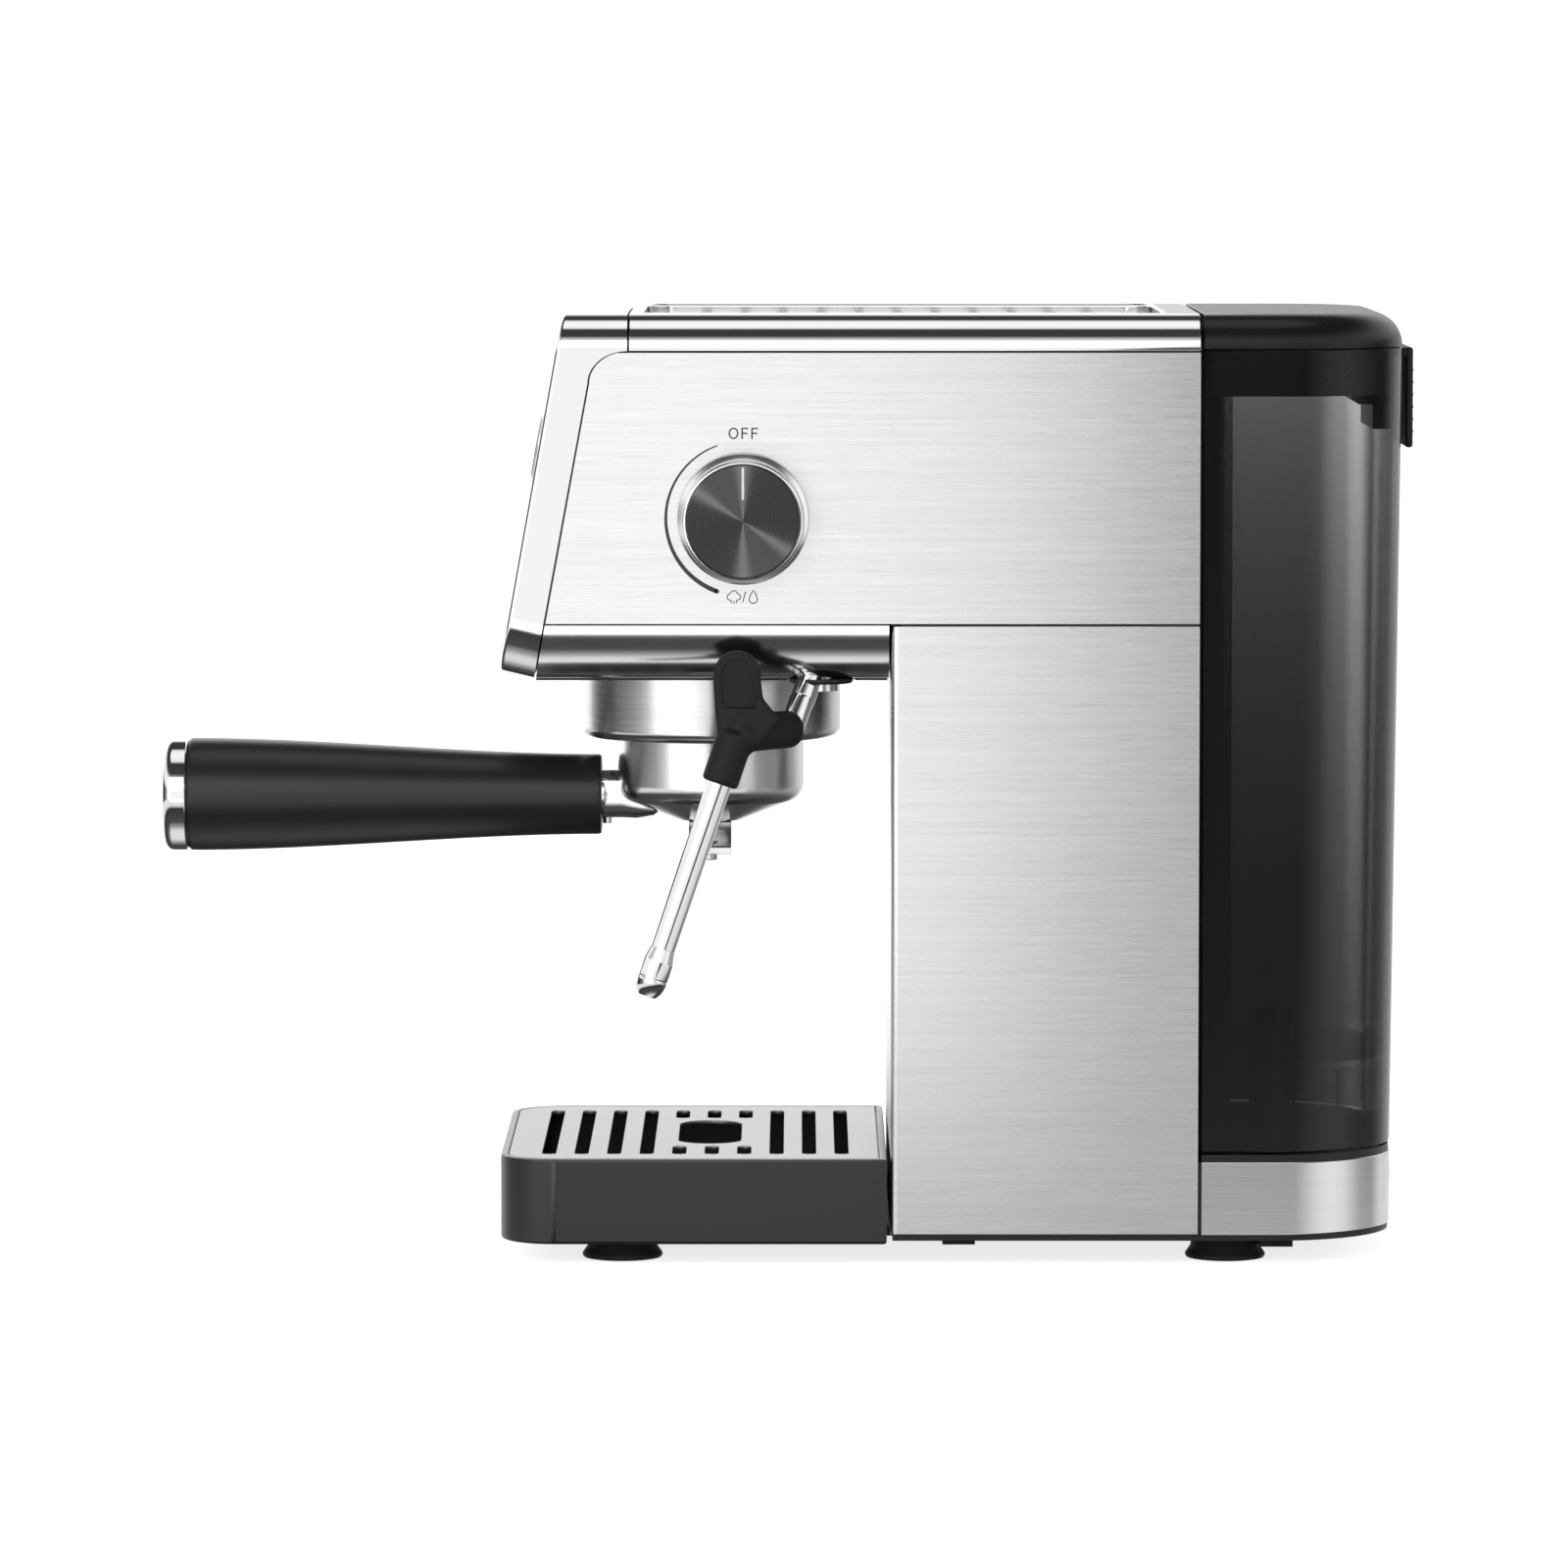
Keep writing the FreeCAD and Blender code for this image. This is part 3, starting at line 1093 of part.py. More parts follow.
def drip_tray():
    """Black tray with a raised floor that clears the plinth."""
    shell = tray_plan(0, TRAY_BOTTOM, TRAY_TOP)
    rest = TRAY_TOP - GRILL
    shell = shell.cut(tray_plan(TRAY_WALL, TRAY_FLOOR + TRAY_WALL, rest - TRAY_REST))
    shell = shell.cut(tray_plan(TRAY_WALL + TRAY_REST, TRAY_FLOOR + TRAY_WALL, rest))
    shell = shell.cut(tray_plan(TRAY_RIM, rest, TRAY_TOP + 1))
    return shell.cut(tray_plan(TRAY_WALL, TRAY_BOTTOM - 1, TRAY_FLOOR, TRAY_WALL * 4))


def drip_grill():
    """Slotted steel plate with a mouth under the spouts."""
    plate = tray_plan(TRAY_RIM + SLIDE_GAP, TRAY_TOP - GRILL, TRAY_TOP)
    z0 = TRAY_TOP - 5
    z1 = TRAY_TOP + 5
    first = GRILL_SHIFT - (GRILL_ROWS - 1) / 2 * GRILL_PITCH
    slot_end = HALF - GRILL_EDGE
    mouth = GRILL_MOUTH_LENGTH / 2
    round_end = GRILL_MOUTH_WIDTH / 2 - 0.01
    cutters = [plan_prism(mouth, -round_end, round_end, round_end - 1, round_end - 1, z0, z1)]
    for i in range(GRILL_ROWS):
        y = first + i * GRILL_PITCH
        if abs(y) > GRILL_MOUTH_WIDTH / 2 + GRILL_SLOT / 2 + 1:
            cutters.append(slot(-slot_end, slot_end, y, GRILL_SLOT, z0, z1))
            continue
        for side in (-1, 1):
            ends = sorted((side * (mouth + GRILL_MOUTH_EDGE), side * slot_end))
            cutters.append(slot(ends[0], ends[1], y, GRILL_SLOT, z0, z1))
    return plate.cut(Part.makeCompound(cutters))


# ---- water tank ----------------------------------------------------------------------------------
def tank_block(inset, z0, z1, front=0.0):
    """Drafted block with the plan of the tank, moved in by an amount."""
    corner = REAR_CORNER - inset
    wires = []
    for z in (z0, z1):
        share = (TANK_TOP - z) / (TANK_TOP - TANK_FOOT)
        rear = TANK_REAR - TANK_DRAFT * share - inset
        wires.append(plan_wire(HALF - inset, TANK_FRONT + front, rear, 0, corner, z))
    return Part.makeLoft(wires, True, True)


def tank_channel(grow, z0, z1):
    """Cutter for the channel that the column's spine stands in."""
    half = SPINE_HALF + SPINE_GAP + grow
    return block(-half, half, TANK_FRONT - 5, SPINE_REAR + SPINE_GAP + grow, z0, z1)


def tank_shell():
    """Smoky clear tank with a raised floor and a channel along its front."""
    shell = tank_block(0, TANK_FOOT, TANK_TOP)
    shell = shell.cut(tank_channel(0, TANK_FOOT - 1, TANK_TOP + 1))
    floor = TANK_FLOOR
    w = TANK_WALL
    water = tank_block(w, floor + w, TANK_TOP + 1, w)
    water = water.cut(tank_channel(w, floor, TANK_TOP + 2))
    skirt = tank_block(w, TANK_FOOT - 1, floor, w).cut(tank_channel(w, 0, floor + 1))
    shell = shell.cut(water).cut(skirt)
    shell = shell.cut(rod((0, VALVE_Y, floor - 5), (0, 0, 1), VALVE_NECK, 15))
    saddle = block(-GRIP_HALF - 0.2, GRIP_HALF + 0.2, TANK_REAR - TANK_WALL - 2, TANK_REAR + 5,
                   TANK_TOP - SADDLE, TANK_TOP + 1)
    return shell.cut(saddle)


def tank_collar():
    """Black collar inside the top of the tank, with a step behind for the fingers."""
    z0 = TANK_TOP - COLLAR_DEPTH
    w = TANK_WALL
    outer = tank_block(w, z0, TANK_TOP, w).cut(tank_channel(w, z0 - 1, TANK_TOP + 1))
    inner = tank_block(w + COLLAR_WALL, z0 - 1, TANK_TOP + 1, w + COLLAR_WALL)
    inner = inner.cut(tank_channel(w + COLLAR_WALL, z0 - 2, TANK_TOP + 2))
    ring = outer.cut(inner)
    rear = TANK_REAR - w - 0.5
    shelf = block(-GRIP_HALF, GRIP_HALF, rear - STEP_DEPTH, rear, z0 - STEP_PLATE, z0)
    leg = block(-GRIP_HALF, GRIP_HALF, rear - STEP_LEG, rear, z0 - STEP_DROP, z0)
    return ring.fuse([shelf, leg]).removeSplitter()


def tank_grip():
    """Black grip behind the tank, hooked over its rear wall."""
    y0 = TANK_REAR + GRIP_STAND
    top = TANK_TOP - SLIDE_GAP
    plate = block(-GRIP_HALF, GRIP_HALF, y0, y0 + GRIP_THICK, TANK_TOP - GRIP_DROP, top)
    saddle = block(-GRIP_HALF, GRIP_HALF, TANK_REAR - TANK_WALL, y0, TANK_TOP - SADDLE, top)
    return plate.fuse(saddle).removeSplitter()


def tank_valve():
    """Valve through the tank floor, with its filter above and its nose below."""
    floor = TANK_FLOOR
    top = floor + TANK_WALL
    nose = DOCK_TOP - VALVE_NOSE
    return lathe([(0, nose), (VALVE_RADIUS, nose), (VALVE_RADIUS, floor),
                  (VALVE_NECK, floor), (VALVE_NECK, top), (VALVE_RADIUS, top),
                  (VALVE_RADIUS, top + FILTER_HEIGHT), (0, top + FILTER_HEIGHT)], (0, VALVE_Y, 0))


def tank_lid():
    """Black lid: rounded along its sides and rear, square where it meets the column."""
    outer = plan_prism(HALF, TANK_FRONT, TANK_REAR, 0, REAR_CORNER, LID_BOTTOM, HEIGHT)
    edges = [e for e in outer.Edges if abs(e.BoundBox.ZMin - HEIGHT) < 0.01
             and abs(e.BoundBox.ZMax - HEIGHT) < 0.01 and e.BoundBox.YMax > TANK_FRONT + 1]
    outer = outer.makeFillet(min(LID_ROUND, HEIGHT - LID_BOTTOM - SLIDE_GAP / 2), edges)
    w = LID_WALL
    inner = plan_prism(HALF - 3 * w, TANK_FRONT + w, TANK_REAR - 3 * w, 0, REAR_CORNER - 3 * w,
                       LID_BOTTOM - 1, HEIGHT - w)
    return outer.cut(inner)


# ---- write every node ----------------------------------------------------------------------------
save("base_plate", base_plate())
save("case_screws", *case_screws())
save("suction_feet", *suction_feet())
save("rubber_pads", *rubber_pads())
save("tank_dock", tank_dock())
save("base_band", base_band())
save("cord_gland", cord_gland())

stem_hole = rod((HALF - 5, KNOB_Y, KNOB_Z), (1, 0, 0), STEM_RADIUS + STEM_ROOM, 10)
save("lower_side_panel_right", lower_side_panel())
save("lower_side_panel_left", mirrored(lower_side_panel()))
save("upper_side_panel_right", upper_side_panel().cut(stem_hole))
save("upper_side_panel_left", mirrored(upper_side_panel()))
save("column_front_panel", column_front_panel())
save("column_rear_wall", column_rear_wall())
save("inner_frame", inner_frame())
save("front_panel", front_panel())
save("top_cover", top_cover())
save("cup_plate", cup_plate())
save("head_bottom_cover", head_bottom_cover())

save("group_collar", group_collar())
save("group_head", group_head())
save("group_gasket", group_gasket())
save("shower_screen", shower_screen())
save("shower_screw", shower_screw())
save("boiler_body", boiler_body())
save("boiler_top", boiler_top())
save("thermostats", *thermostats())
save("pump_coil", pump_coil())
save("pump_body", pump_body())
save("pump_mounts", *pump_mounts())
save("hoses", *hoses())
save("steam_valve_body", steam_valve_body())
save("steam_escutcheon", steam_escutcheon())
save("control_board", control_board())
save("power_board", power_board())

save("button_bezels", *button_bezels())
for label, spot in zip(("one_cup", "two_cups", "steam"), button_spots()):
    save("button_" + label, button(spot))
save("steam_knob", steam_knob())
save("knob_face", knob_face())
save("valve_stem", valve_stem())
save("steam_pipe", steam_pipe())
save("steam_grip", steam_grip())
save("wand_tube", wand_tube())
save("wand_tip", wand_tip())

save("portafilter_bowl", portafilter_bowl())
save("filter_basket", filter_basket())
save("basket_spring", basket_spring())
save("spout", spout())
save("spout_screw", spout_screw())
save("handle_sleeve", handle_sleeve())
save("handle_cap", handle_cap())
save("handle_bolt", handle_bolt())

save("drip_tray", drip_tray())
save("drip_grill", drip_grill())
save("tank_shell", tank_shell())
save("tank_collar", tank_collar())
save("tank_grip", tank_grip())
save("tank_valve", tank_valve())
save("tank_lid", tank_lid())
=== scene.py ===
# %% [markdown]
# This notebook builds the looks of a slim espresso machine around a fixed engineering frame.
# The frame gives every node its true place and size, so no piece is fitted by eye: each value
# below is either measured from a node's box or is a size that the real machine has. Lengths in
# Blender are metres, and machines are drawn in millimetres, so `MM` turns one into the other.

# %% Load the frame
import json
import math
import bmesh
import bpy
from mathutils import Matrix, Vector


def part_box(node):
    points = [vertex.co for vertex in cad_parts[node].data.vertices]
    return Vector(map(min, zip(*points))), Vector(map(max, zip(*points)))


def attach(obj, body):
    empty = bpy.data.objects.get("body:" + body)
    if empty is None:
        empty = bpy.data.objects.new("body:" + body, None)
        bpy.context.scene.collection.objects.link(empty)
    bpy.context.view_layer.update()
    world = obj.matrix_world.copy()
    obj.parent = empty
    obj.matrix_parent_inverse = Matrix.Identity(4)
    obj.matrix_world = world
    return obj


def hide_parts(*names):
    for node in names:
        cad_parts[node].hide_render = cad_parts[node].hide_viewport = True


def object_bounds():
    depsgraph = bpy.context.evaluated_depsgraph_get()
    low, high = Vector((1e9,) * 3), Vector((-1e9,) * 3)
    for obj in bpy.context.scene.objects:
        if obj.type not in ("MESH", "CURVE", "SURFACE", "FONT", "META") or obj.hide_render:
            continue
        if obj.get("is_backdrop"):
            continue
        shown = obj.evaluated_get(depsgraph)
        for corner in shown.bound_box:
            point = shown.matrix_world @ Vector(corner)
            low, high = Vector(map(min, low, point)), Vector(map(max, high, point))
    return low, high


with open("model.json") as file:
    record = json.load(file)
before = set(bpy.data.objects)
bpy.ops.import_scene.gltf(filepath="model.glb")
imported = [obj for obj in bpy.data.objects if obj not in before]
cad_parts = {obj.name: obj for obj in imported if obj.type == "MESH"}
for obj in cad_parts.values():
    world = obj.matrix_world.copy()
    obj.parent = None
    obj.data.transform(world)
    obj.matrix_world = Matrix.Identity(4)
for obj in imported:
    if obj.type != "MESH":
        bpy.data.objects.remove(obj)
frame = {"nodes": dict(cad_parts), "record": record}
cad_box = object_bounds()
MM = 0.001


# %% [markdown]
# Most sizes come from the boxes of nodes. `low` and `high` read one corner value in millimetres,
# so that a line such as `high("tank_lid", "z")` says in words where a number comes from.

# %% Sizes read from the frame
def low(node, axis):
    """Lowest coordinate of a node along an axis, in millimetres."""
    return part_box(node)[0]["xyz".index(axis)] / MM


def high(node, axis):
    """Highest coordinate of a node along an axis, in millimetres."""
    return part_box(node)[1]["xyz".index(axis)] / MM


HALF = high("upper_side_panel_right", "x")
TOP = high("top_cover", "z")
TOP_SEAM = low("top_cover", "z")
HEAD_FOOT = low("head_bottom_cover", "z")
SIDE_SEAM = high("head_bottom_cover", "z") + 0.3
COLUMN_FRONT = low("column_front_panel", "y")
COLUMN_REAR = high("top_cover", "y")
TANK_FRONT = low("tank_shell", "y")
TANK_REAR = high("tank_shell", "y")
BASE_REAR = high("base_band", "y")
FRONT = low("front_panel", "y")
REAR_CORNER = 40.0
TOP_ROUND = TOP - TOP_SEAM
FOOT_ROUND = 18.0
print("body is", 2 * HALF, "mm wide and", round(TOP, 1), "mm high")


# %% [markdown]
# A shape needs only a few tools. A closed outline pushed along an axis makes panels and plates,
# an outline turned about an axis makes knobs and bowls, and a stack of matching loops makes
# shells whose wall changes with height. Each tool builds its mesh with bmesh, because written
# vertices stay exact, where a stretched primitive would carry its stretch into every bevel.

# %% Outline and loop tools
def arc(cx, cy, radius, start, end, steps=12):
    """Points along an arc, angles in degrees."""
    turn = [math.radians(start + (end - start) * i / steps) for i in range(steps + 1)]
    return [(cx + radius * math.cos(a), cy + radius * math.sin(a)) for a in turn]


def rounded(half_w, y0, y1, r0, r1, steps=12):
    """A closed outline, symmetric about zero, with rounding r0 at y0 and r1 at y1."""
    return (arc(half_w - r0, y0 + r0, r0, 270, 360, steps) + arc(half_w - r1, y1 - r1, r1, 0, 90, steps) +
            arc(-half_w + r1, y1 - r1, r1, 90, 180, steps) + arc(-half_w + r0, y0 + r0, r0, 180, 270, steps))


def put(name, data):
    """A new scene object that shows some data."""
    piece = bpy.data.objects.new(name, data)
    bpy.context.scene.collection.objects.link(piece)
    return piece


def mesh_object(name, bm):
    """Turn a bmesh into a scene object."""
    mesh = bpy.data.meshes.new(name)
    bm.to_mesh(mesh)
    bm.free()
    return put(name, mesh)


def make_object(name, bm):
    """Clean a bmesh in millimetres and turn it into a scene object in metres."""
    bmesh.ops.remove_doubles(bm, verts=bm.verts, dist=0.0005)
    bmesh.ops.recalc_face_normals(bm, faces=bm.faces)
    bmesh.ops.scale(bm, vec=(MM, MM, MM), verts=bm.verts)
    return mesh_object(name, bm)


def bridge(name, loops, closed=True, ring=False):
    """Join matching loops of 3-D points; close the ends with caps, or the last loop to the first."""
    bm = bmesh.new()
    rows = [[bm.verts.new(p) for p in loop] for loop in loops]
    pairs = list(zip(rows, rows[1:])) + ([(rows[-1], rows[0])] if ring else [])
    for a, b in pairs:
        for i in range(len(a)):
            j = (i + 1) % len(a)
            bm.faces.new((a[i], a[j], b[j], b[i]))
    if closed and not ring:
        bm.faces.new(rows[0][::-1])
        bm.faces.new(rows[-1])
    return make_object(name, bm)


AXES = {"x": lambda u, v, w: (w, u, v), "y": lambda u, v, w: (u, w, v), "z": lambda u, v, w: (u, v, w)}


def prism(name, outline, axis, lo, hi):
    """Push a closed outline along an axis: (y, z) along x, (x, z) along y, or (x, y) along z."""
    place = AXES[axis]
    return bridge(name, [[place(u, v, w) for u, v in outline] for w in (lo, hi)])


def lathe(name, profile, centre=(0, 0, 0), axis=(0, 0, 1), steps=96):
    """Turn an open (radius, height) profile about an axis; ends on the axis close by themselves."""
    turn = Vector((0, 0, 1)).rotation_difference(Vector(axis)).to_matrix()
    bm = bmesh.new()
    rows = []
    for r, h in profile:
        count = 1 if r < 1e-6 else steps
        row = []
        for i in range(count):
            a = 2 * math.pi * i / steps
            row.append(bm.verts.new(Vector(centre) + turn @ Vector((r * math.cos(a), r * math.sin(a), h))))
        rows.append(row)
    for a, b in zip(rows, rows[1:]):
        for i in range(steps):
            j = (i + 1) % steps
            corners = [a[i % len(a)], a[j % len(a)], b[j % len(b)], b[i % len(b)]]
            unique = [v for k, v in enumerate(corners) if v not in corners[:k]]
            if len(unique) > 2:
                bm.faces.new(unique)
    return make_object(name, bm)


def cylinder(name, radius, height, centre=(0, 0, 0), axis=(0, 0, 1), steps=96):
    """A plain round bar, mostly used as a drill."""
    return lathe(name, [(0, 0), (radius, 0), (radius, height), (0, height)], centre, axis, steps)


def box_piece(name, x0, x1, y0, y1, z0, z1):
    """A squared block, to be cut or rounded later."""
    return prism(name, [(x0, y0), (x1, y0), (x1, y1), (x0, y1)], "z", z0, z1)


def tube(name, points, radius, steps):
    """A round bar that follows points, with its corners already rounded in the points."""
    path = [Vector(p) for p in points]
    loops = []
    side = None
    for i, spot in enumerate(path):
        ahead = (path[min(i + 1, len(path) - 1)] - path[max(i - 1, 0)]).normalized()
        side = ahead.orthogonal().normalized() if side is None else (side - ahead * side.dot(ahead)).normalized()
        up = ahead.cross(side)
        turns = [2 * math.pi * k / steps for k in range(steps)]
        loops.append([spot + (side * math.cos(a) + up * math.sin(a)) * radius for a in turns])
    return bridge(name, loops)


def fillet_path(points, radius, steps):
    """Straight runs joined by tangent arcs."""
    spots = [Vector(p) for p in points]
    path = [spots[0]]
    for before, corner, after in zip(spots, spots[1:], spots[2:]):
        into = (corner - before).normalized()
        out = (after - corner).normalized()
        half = into.angle(out) / 2
        back = radius * math.tan(half)
        centre = corner + (out - into).normalized() * (radius / math.cos(half))
        first = corner - into * back - centre
        last = corner + out * back - centre
        path += [centre + first.slerp(last, i / steps) for i in range(steps + 1)]
    return path + [spots[-1]]


print("outline tools ready")


# %% [markdown]
# Real edges are never sharp: pressed steel has a radius of about its own thickness, and moulded
# plastic a little more. A bevel catches the thin line of light that shows where a part ends.
# `soften` adds that bevel as a modifier, and `smooth` shades across soft edges with normals that
# are weighted by area, so that flat faces stay flat. `carve` cuts holes with a Boolean, as a
# punch does.

# %% Cutting and softening tools
SOFT_ANGLE = 40.0
FLAT_BEND = 0.002
LARGE_SHARE = 0.3


def apply_modifiers(piece):
    """Replace a piece's mesh by what its modifiers make of it."""
    deps = bpy.context.evaluated_depsgraph_get()
    deps.update()
    mesh = bpy.data.meshes.new_from_object(piece.evaluated_get(deps))
    piece.modifiers.clear()
    piece.data = mesh
    return piece


def join(name, *pieces):
    """Join pieces into one mesh, without welding them."""
    bm = bmesh.new()
    for piece in pieces:
        bm.from_mesh(piece.data)
        bpy.data.objects.remove(piece)
    return mesh_object(name, bm)


def carve(piece, *cutters):
    """Cut the cutters out of a piece."""
    for cutter in cutters:
        cut = piece.modifiers.new("cut", "BOOLEAN")
        cut.operation = "DIFFERENCE"
        cut.solver = "EXACT"
        cut.object = cutter
        apply_modifiers(piece)
        bpy.data.objects.remove(cutter)
    return piece


def smooth(piece, angle=35.0):
    """Shade smooth across soft edges, and keep sharp edges and large flat faces as they are."""
    soft = math.radians(angle)
    bm = bmesh.new()
    bm.from_mesh(piece.data)
    bend = {edge: edge.calc_face_angle(math.pi) if len(edge.link_faces) == 2 else math.pi for edge in bm.edges}
    area = {face: face.calc_area() for face in bm.faces}
    for edge in bm.edges:
        edge.smooth = bend[edge] < soft
    for face in bm.faces:
        beside = [other for edge in face.edges if FLAT_BEND < bend[edge] < soft
                  for other in edge.link_faces if other is not face]
        face.smooth = any(area[other] > LARGE_SHARE * area[face] for other in beside)
    bm.to_mesh(piece.data)
    bm.free()
    weigh = piece.modifiers.new("weigh", "WEIGHTED_NORMAL")
    weigh.keep_sharp = True
    return apply_modifiers(piece)


def soften(piece, width=0.4, segments=3, angle=35.0):
    """Round the edges by a width in millimetres, then smooth what is left."""
    bevel = piece.modifiers.new("edge", "BEVEL")
    bevel.width = width * MM
    bevel.segments = segments
    bevel.limit_method = "ANGLE"
    bevel.angle_limit = math.radians(angle)
    bevel.use_clamp_overlap = True
    apply_modifiers(piece)
    return smooth(piece, SOFT_ANGLE)


def mirror_x(piece, name):
    """A copy of a piece on the other side of the middle plane."""
    bm = bmesh.new()
    bm.from_mesh(piece.data)
    bmesh.ops.scale(bm, vec=(-1, 1, 1), verts=bm.verts)
    bmesh.ops.reverse_faces(bm, faces=bm.faces)
    twin = mesh_object(name, bm)
    attributes = twin.data.attributes
    if "custom_normal" in attributes:
        attributes.remove(attributes["custom_normal"])
    return smooth(twin, SOFT_ANGLE)


BODY_OF = {node: body for body, nodes in frame["record"]["behaviour"]["bodies"].items() for node in nodes}
SLOT_OF = {part["node"]: part["material_slot"] for part in frame["record"]["subparts"]}
built = []


def finish_piece(piece, material, *nodes, body=None, slot=None, replace=True):
    """Give a piece its material, and make it ride with and stand for its nodes."""
    piece.data.materials.clear()
    piece.data.materials.append(material)
    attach(piece, body or BODY_OF[nodes[0]])
    slot or SLOT_OF[nodes[0]]
    if replace:
        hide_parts(*nodes)
    built.append(piece.name)
    return piece


# %% [markdown]
# A look in Blender is a graph of nodes. Written as Python expressions it reads like a formula:
# `Value` wraps one output, `+`, `-`, `*`, `/` and `**` on it add the Math nodes, and `Graph.node`
# adds any other node. A `Finish` is a graph with a Principled shader, whose sockets say what a
# surface is made of, how rough it is, and how both change from place to place.

# %% Shader expressions
class Value:
    """One output socket of a graph."""

    def __init__(self, graph, socket):
        self.graph = graph
        self.socket = socket

    def math(self, operation, *others, swap=False):
        terms = [self, *others]
        sockets = {f"n{i}": term for i, term in enumerate(terms[::-1] if swap else terms)}
        return self.graph.node("Math", {"operation": operation}, **sockets)

    def __add__(self, other): return self.math("ADD", other)
    def __sub__(self, other): return self.math("SUBTRACT", other)
    def __rsub__(self, other): return self.math("SUBTRACT", other, swap=True)
    def __mul__(self, other): return self.math("MULTIPLY", other)
    def __truediv__(self, other): return self.math("DIVIDE", other)
    def __pow__(self, other): return self.math("POWER", other)
    def at_most(self, other): return self.math("MINIMUM", other)
    def at_least(self, other): return self.math("MAXIMUM", other)


def set_stops(ramp, stops):
    """Give a ramp its grey stops, each a place from 0 to 1 and a tone."""
    for place, _ in stops[1:-1]:
        ramp.elements.new(place)
    for element, (place, tone) in zip(ramp.elements, stops):
        element.position = place
        element.color = (tone, tone, tone, 1.0)


class Graph:
    """A tree of nodes that grows by one method."""

    def __init__(self, tree):
        self.tree = tree

    def feed(self, socket, value):
        """Link a value to a socket, or set the socket to a constant."""
        if isinstance(value, Value):
            self.tree.links.new(value.socket, socket)
        elif socket.type == "RGBA":
            socket.default_value = (*value, 1.0)
        else:
            socket.default_value = value

    def node(self, kind, settings=None, out=0, **inputs):
        """Any node: its settings first, then its sockets by name, or by number after an n."""
        node = self.tree.nodes.new("ShaderNode" + kind)
        for key, value in (settings or {}).items():
            if key == "stops":
                set_stops(node.color_ramp, value)
            else:
                setattr(node, key, value)
        for name, value in inputs.items():
            key = int(name[1:]) if name[1:].isdigit() else name.replace("_", " ")
            self.feed(node.inputs[key], value)
        return Value(self, node.outputs[out]) if node.outputs else None


class Finish(Graph):
    """A material under construction, with its Principled shader."""

    def __init__(self, name, **constants):
        self.material = bpy.data.materials.new(name)
        self.material.use_nodes = True
        super().__init__(self.material.node_tree)
        self.shader = self.tree.nodes["Principled BSDF"]
        self.set(**constants)

    def set(self, **inputs):
        """Set the shader's sockets; an underscore in a name stands for a space."""
        for name, value in inputs.items():
            self.feed(self.shader.inputs[name.replace("_", " ")], value)

    def spot(self):
        """Where a point is on the resting object, in metres."""
        return self.node("TexCoord", out="Object")

    def noise(self, scale, detail=3.0, stretch=(1, 1, 1)):
        """Smooth random values about 0.5; scale is in features per metre, stretched per axis."""
        place = self.node("Mapping", Vector=self.spot(), Scale=stretch)
        return self.node("TexNoise", Vector=place, Scale=scale, Detail=detail)

    def blend(self, factor, first, second):
        """Mix two colours."""
        return self.node("Mix", {"data_type": "RGBA"}, out=2, n0=factor, n6=first, n7=second)

    def bump(self, height, strength):
        """Feed a height to the shader's normal."""
        self.set(Normal=self.node("Bump", Height=height, Strength=strength, Distance=BUMP_REACH))


BUMP_REACH = 0.0001
print("shader expressions ready")


# %% [markdown]
# A product shot of steel is mostly a picture of what stands round the steel. So the studio comes
# first: a camera with a long lens a few metres away, a pale floor, and a room whose bright and
# dark zones draw the long bands on the metal. A long lens keeps upright edges nearly parallel.

# %% Camera
camera_data = bpy.data.cameras.new("camera")
camera_data.lens = 201.0
camera_data.clip_end = 100.0
camera = put("camera", camera_data)
camera.location = (2.865, 0.028, 0.379)
camera_target = Vector((0.075, 0.0243, 0.1553))
camera.rotation_euler = (camera_target - camera.location).to_track_quat("-Z", "Y").to_euler()
bpy.context.scene.camera = camera
bpy.context.scene.view_settings.view_transform = "Standard"
print("camera is", round(camera.location.length, 2), "m away, lens", camera_data.lens, "mm")


# %% [markdown]
# The room is a world with two sets of tones. One goes with height: a bright strip overhead, black
# cloth below it, a ring of soft boxes above and below eye level, and a bright floor far down.
# The other goes round the horizon, with dark gaps at the front and the rear that give round
# metal its dark edges. The camera itself sees plain white, as in front of lit paper.

# %% Room
HEIGHT_TONES = [(-1.0, 1.0), (-0.97, 0.95), (-0.92, 0.45), (-0.82, 0.09), (-0.42, 0.05), (-0.34, 0.95),
                (-0.15, 1.15), (0.15, 1.2), (0.50, 1.25), (0.61, 0.6), (0.71, 0.06), (0.935, 0.05), (0.965, 1.1),
                (1.0, 1.3)]
ROUND_TONES = [(-180, 0.72), (-135, 0.9), (-116, 0.06), (-96, 0.05), (-70, 0.3), (-48, 1.1), (-20, 0.95),
               (-4, 0.14), (25, 0.11), (45, 1.0), (60, 1.3), (74, 1.1), (94, 0.2), (106, 0.05), (114, 0.06),
               (130, 0.85), (180, 0.72)]
HORIZON = 0.03
HORIZON_REACH = (0.20, 0.13)
WHITE = (1.0, 1.0, 1.0)
world = bpy.data.worlds.new("room")
bpy.context.scene.world = world
world.use_nodes = True
world.node_tree.nodes.clear()
room = Graph(world.node_tree)


def tones(direction, reach, stops):
    """Grey tones along a direction that runs from -reach to reach."""
    share = room.node("MapRange", n0=direction, n1=-reach, n2=reach)
    end = stops[-1][0]
    return room.node("ValToRGB", {"stops": [((place + end) / (2 * end), tone) for place, tone in stops]}, n0=share)


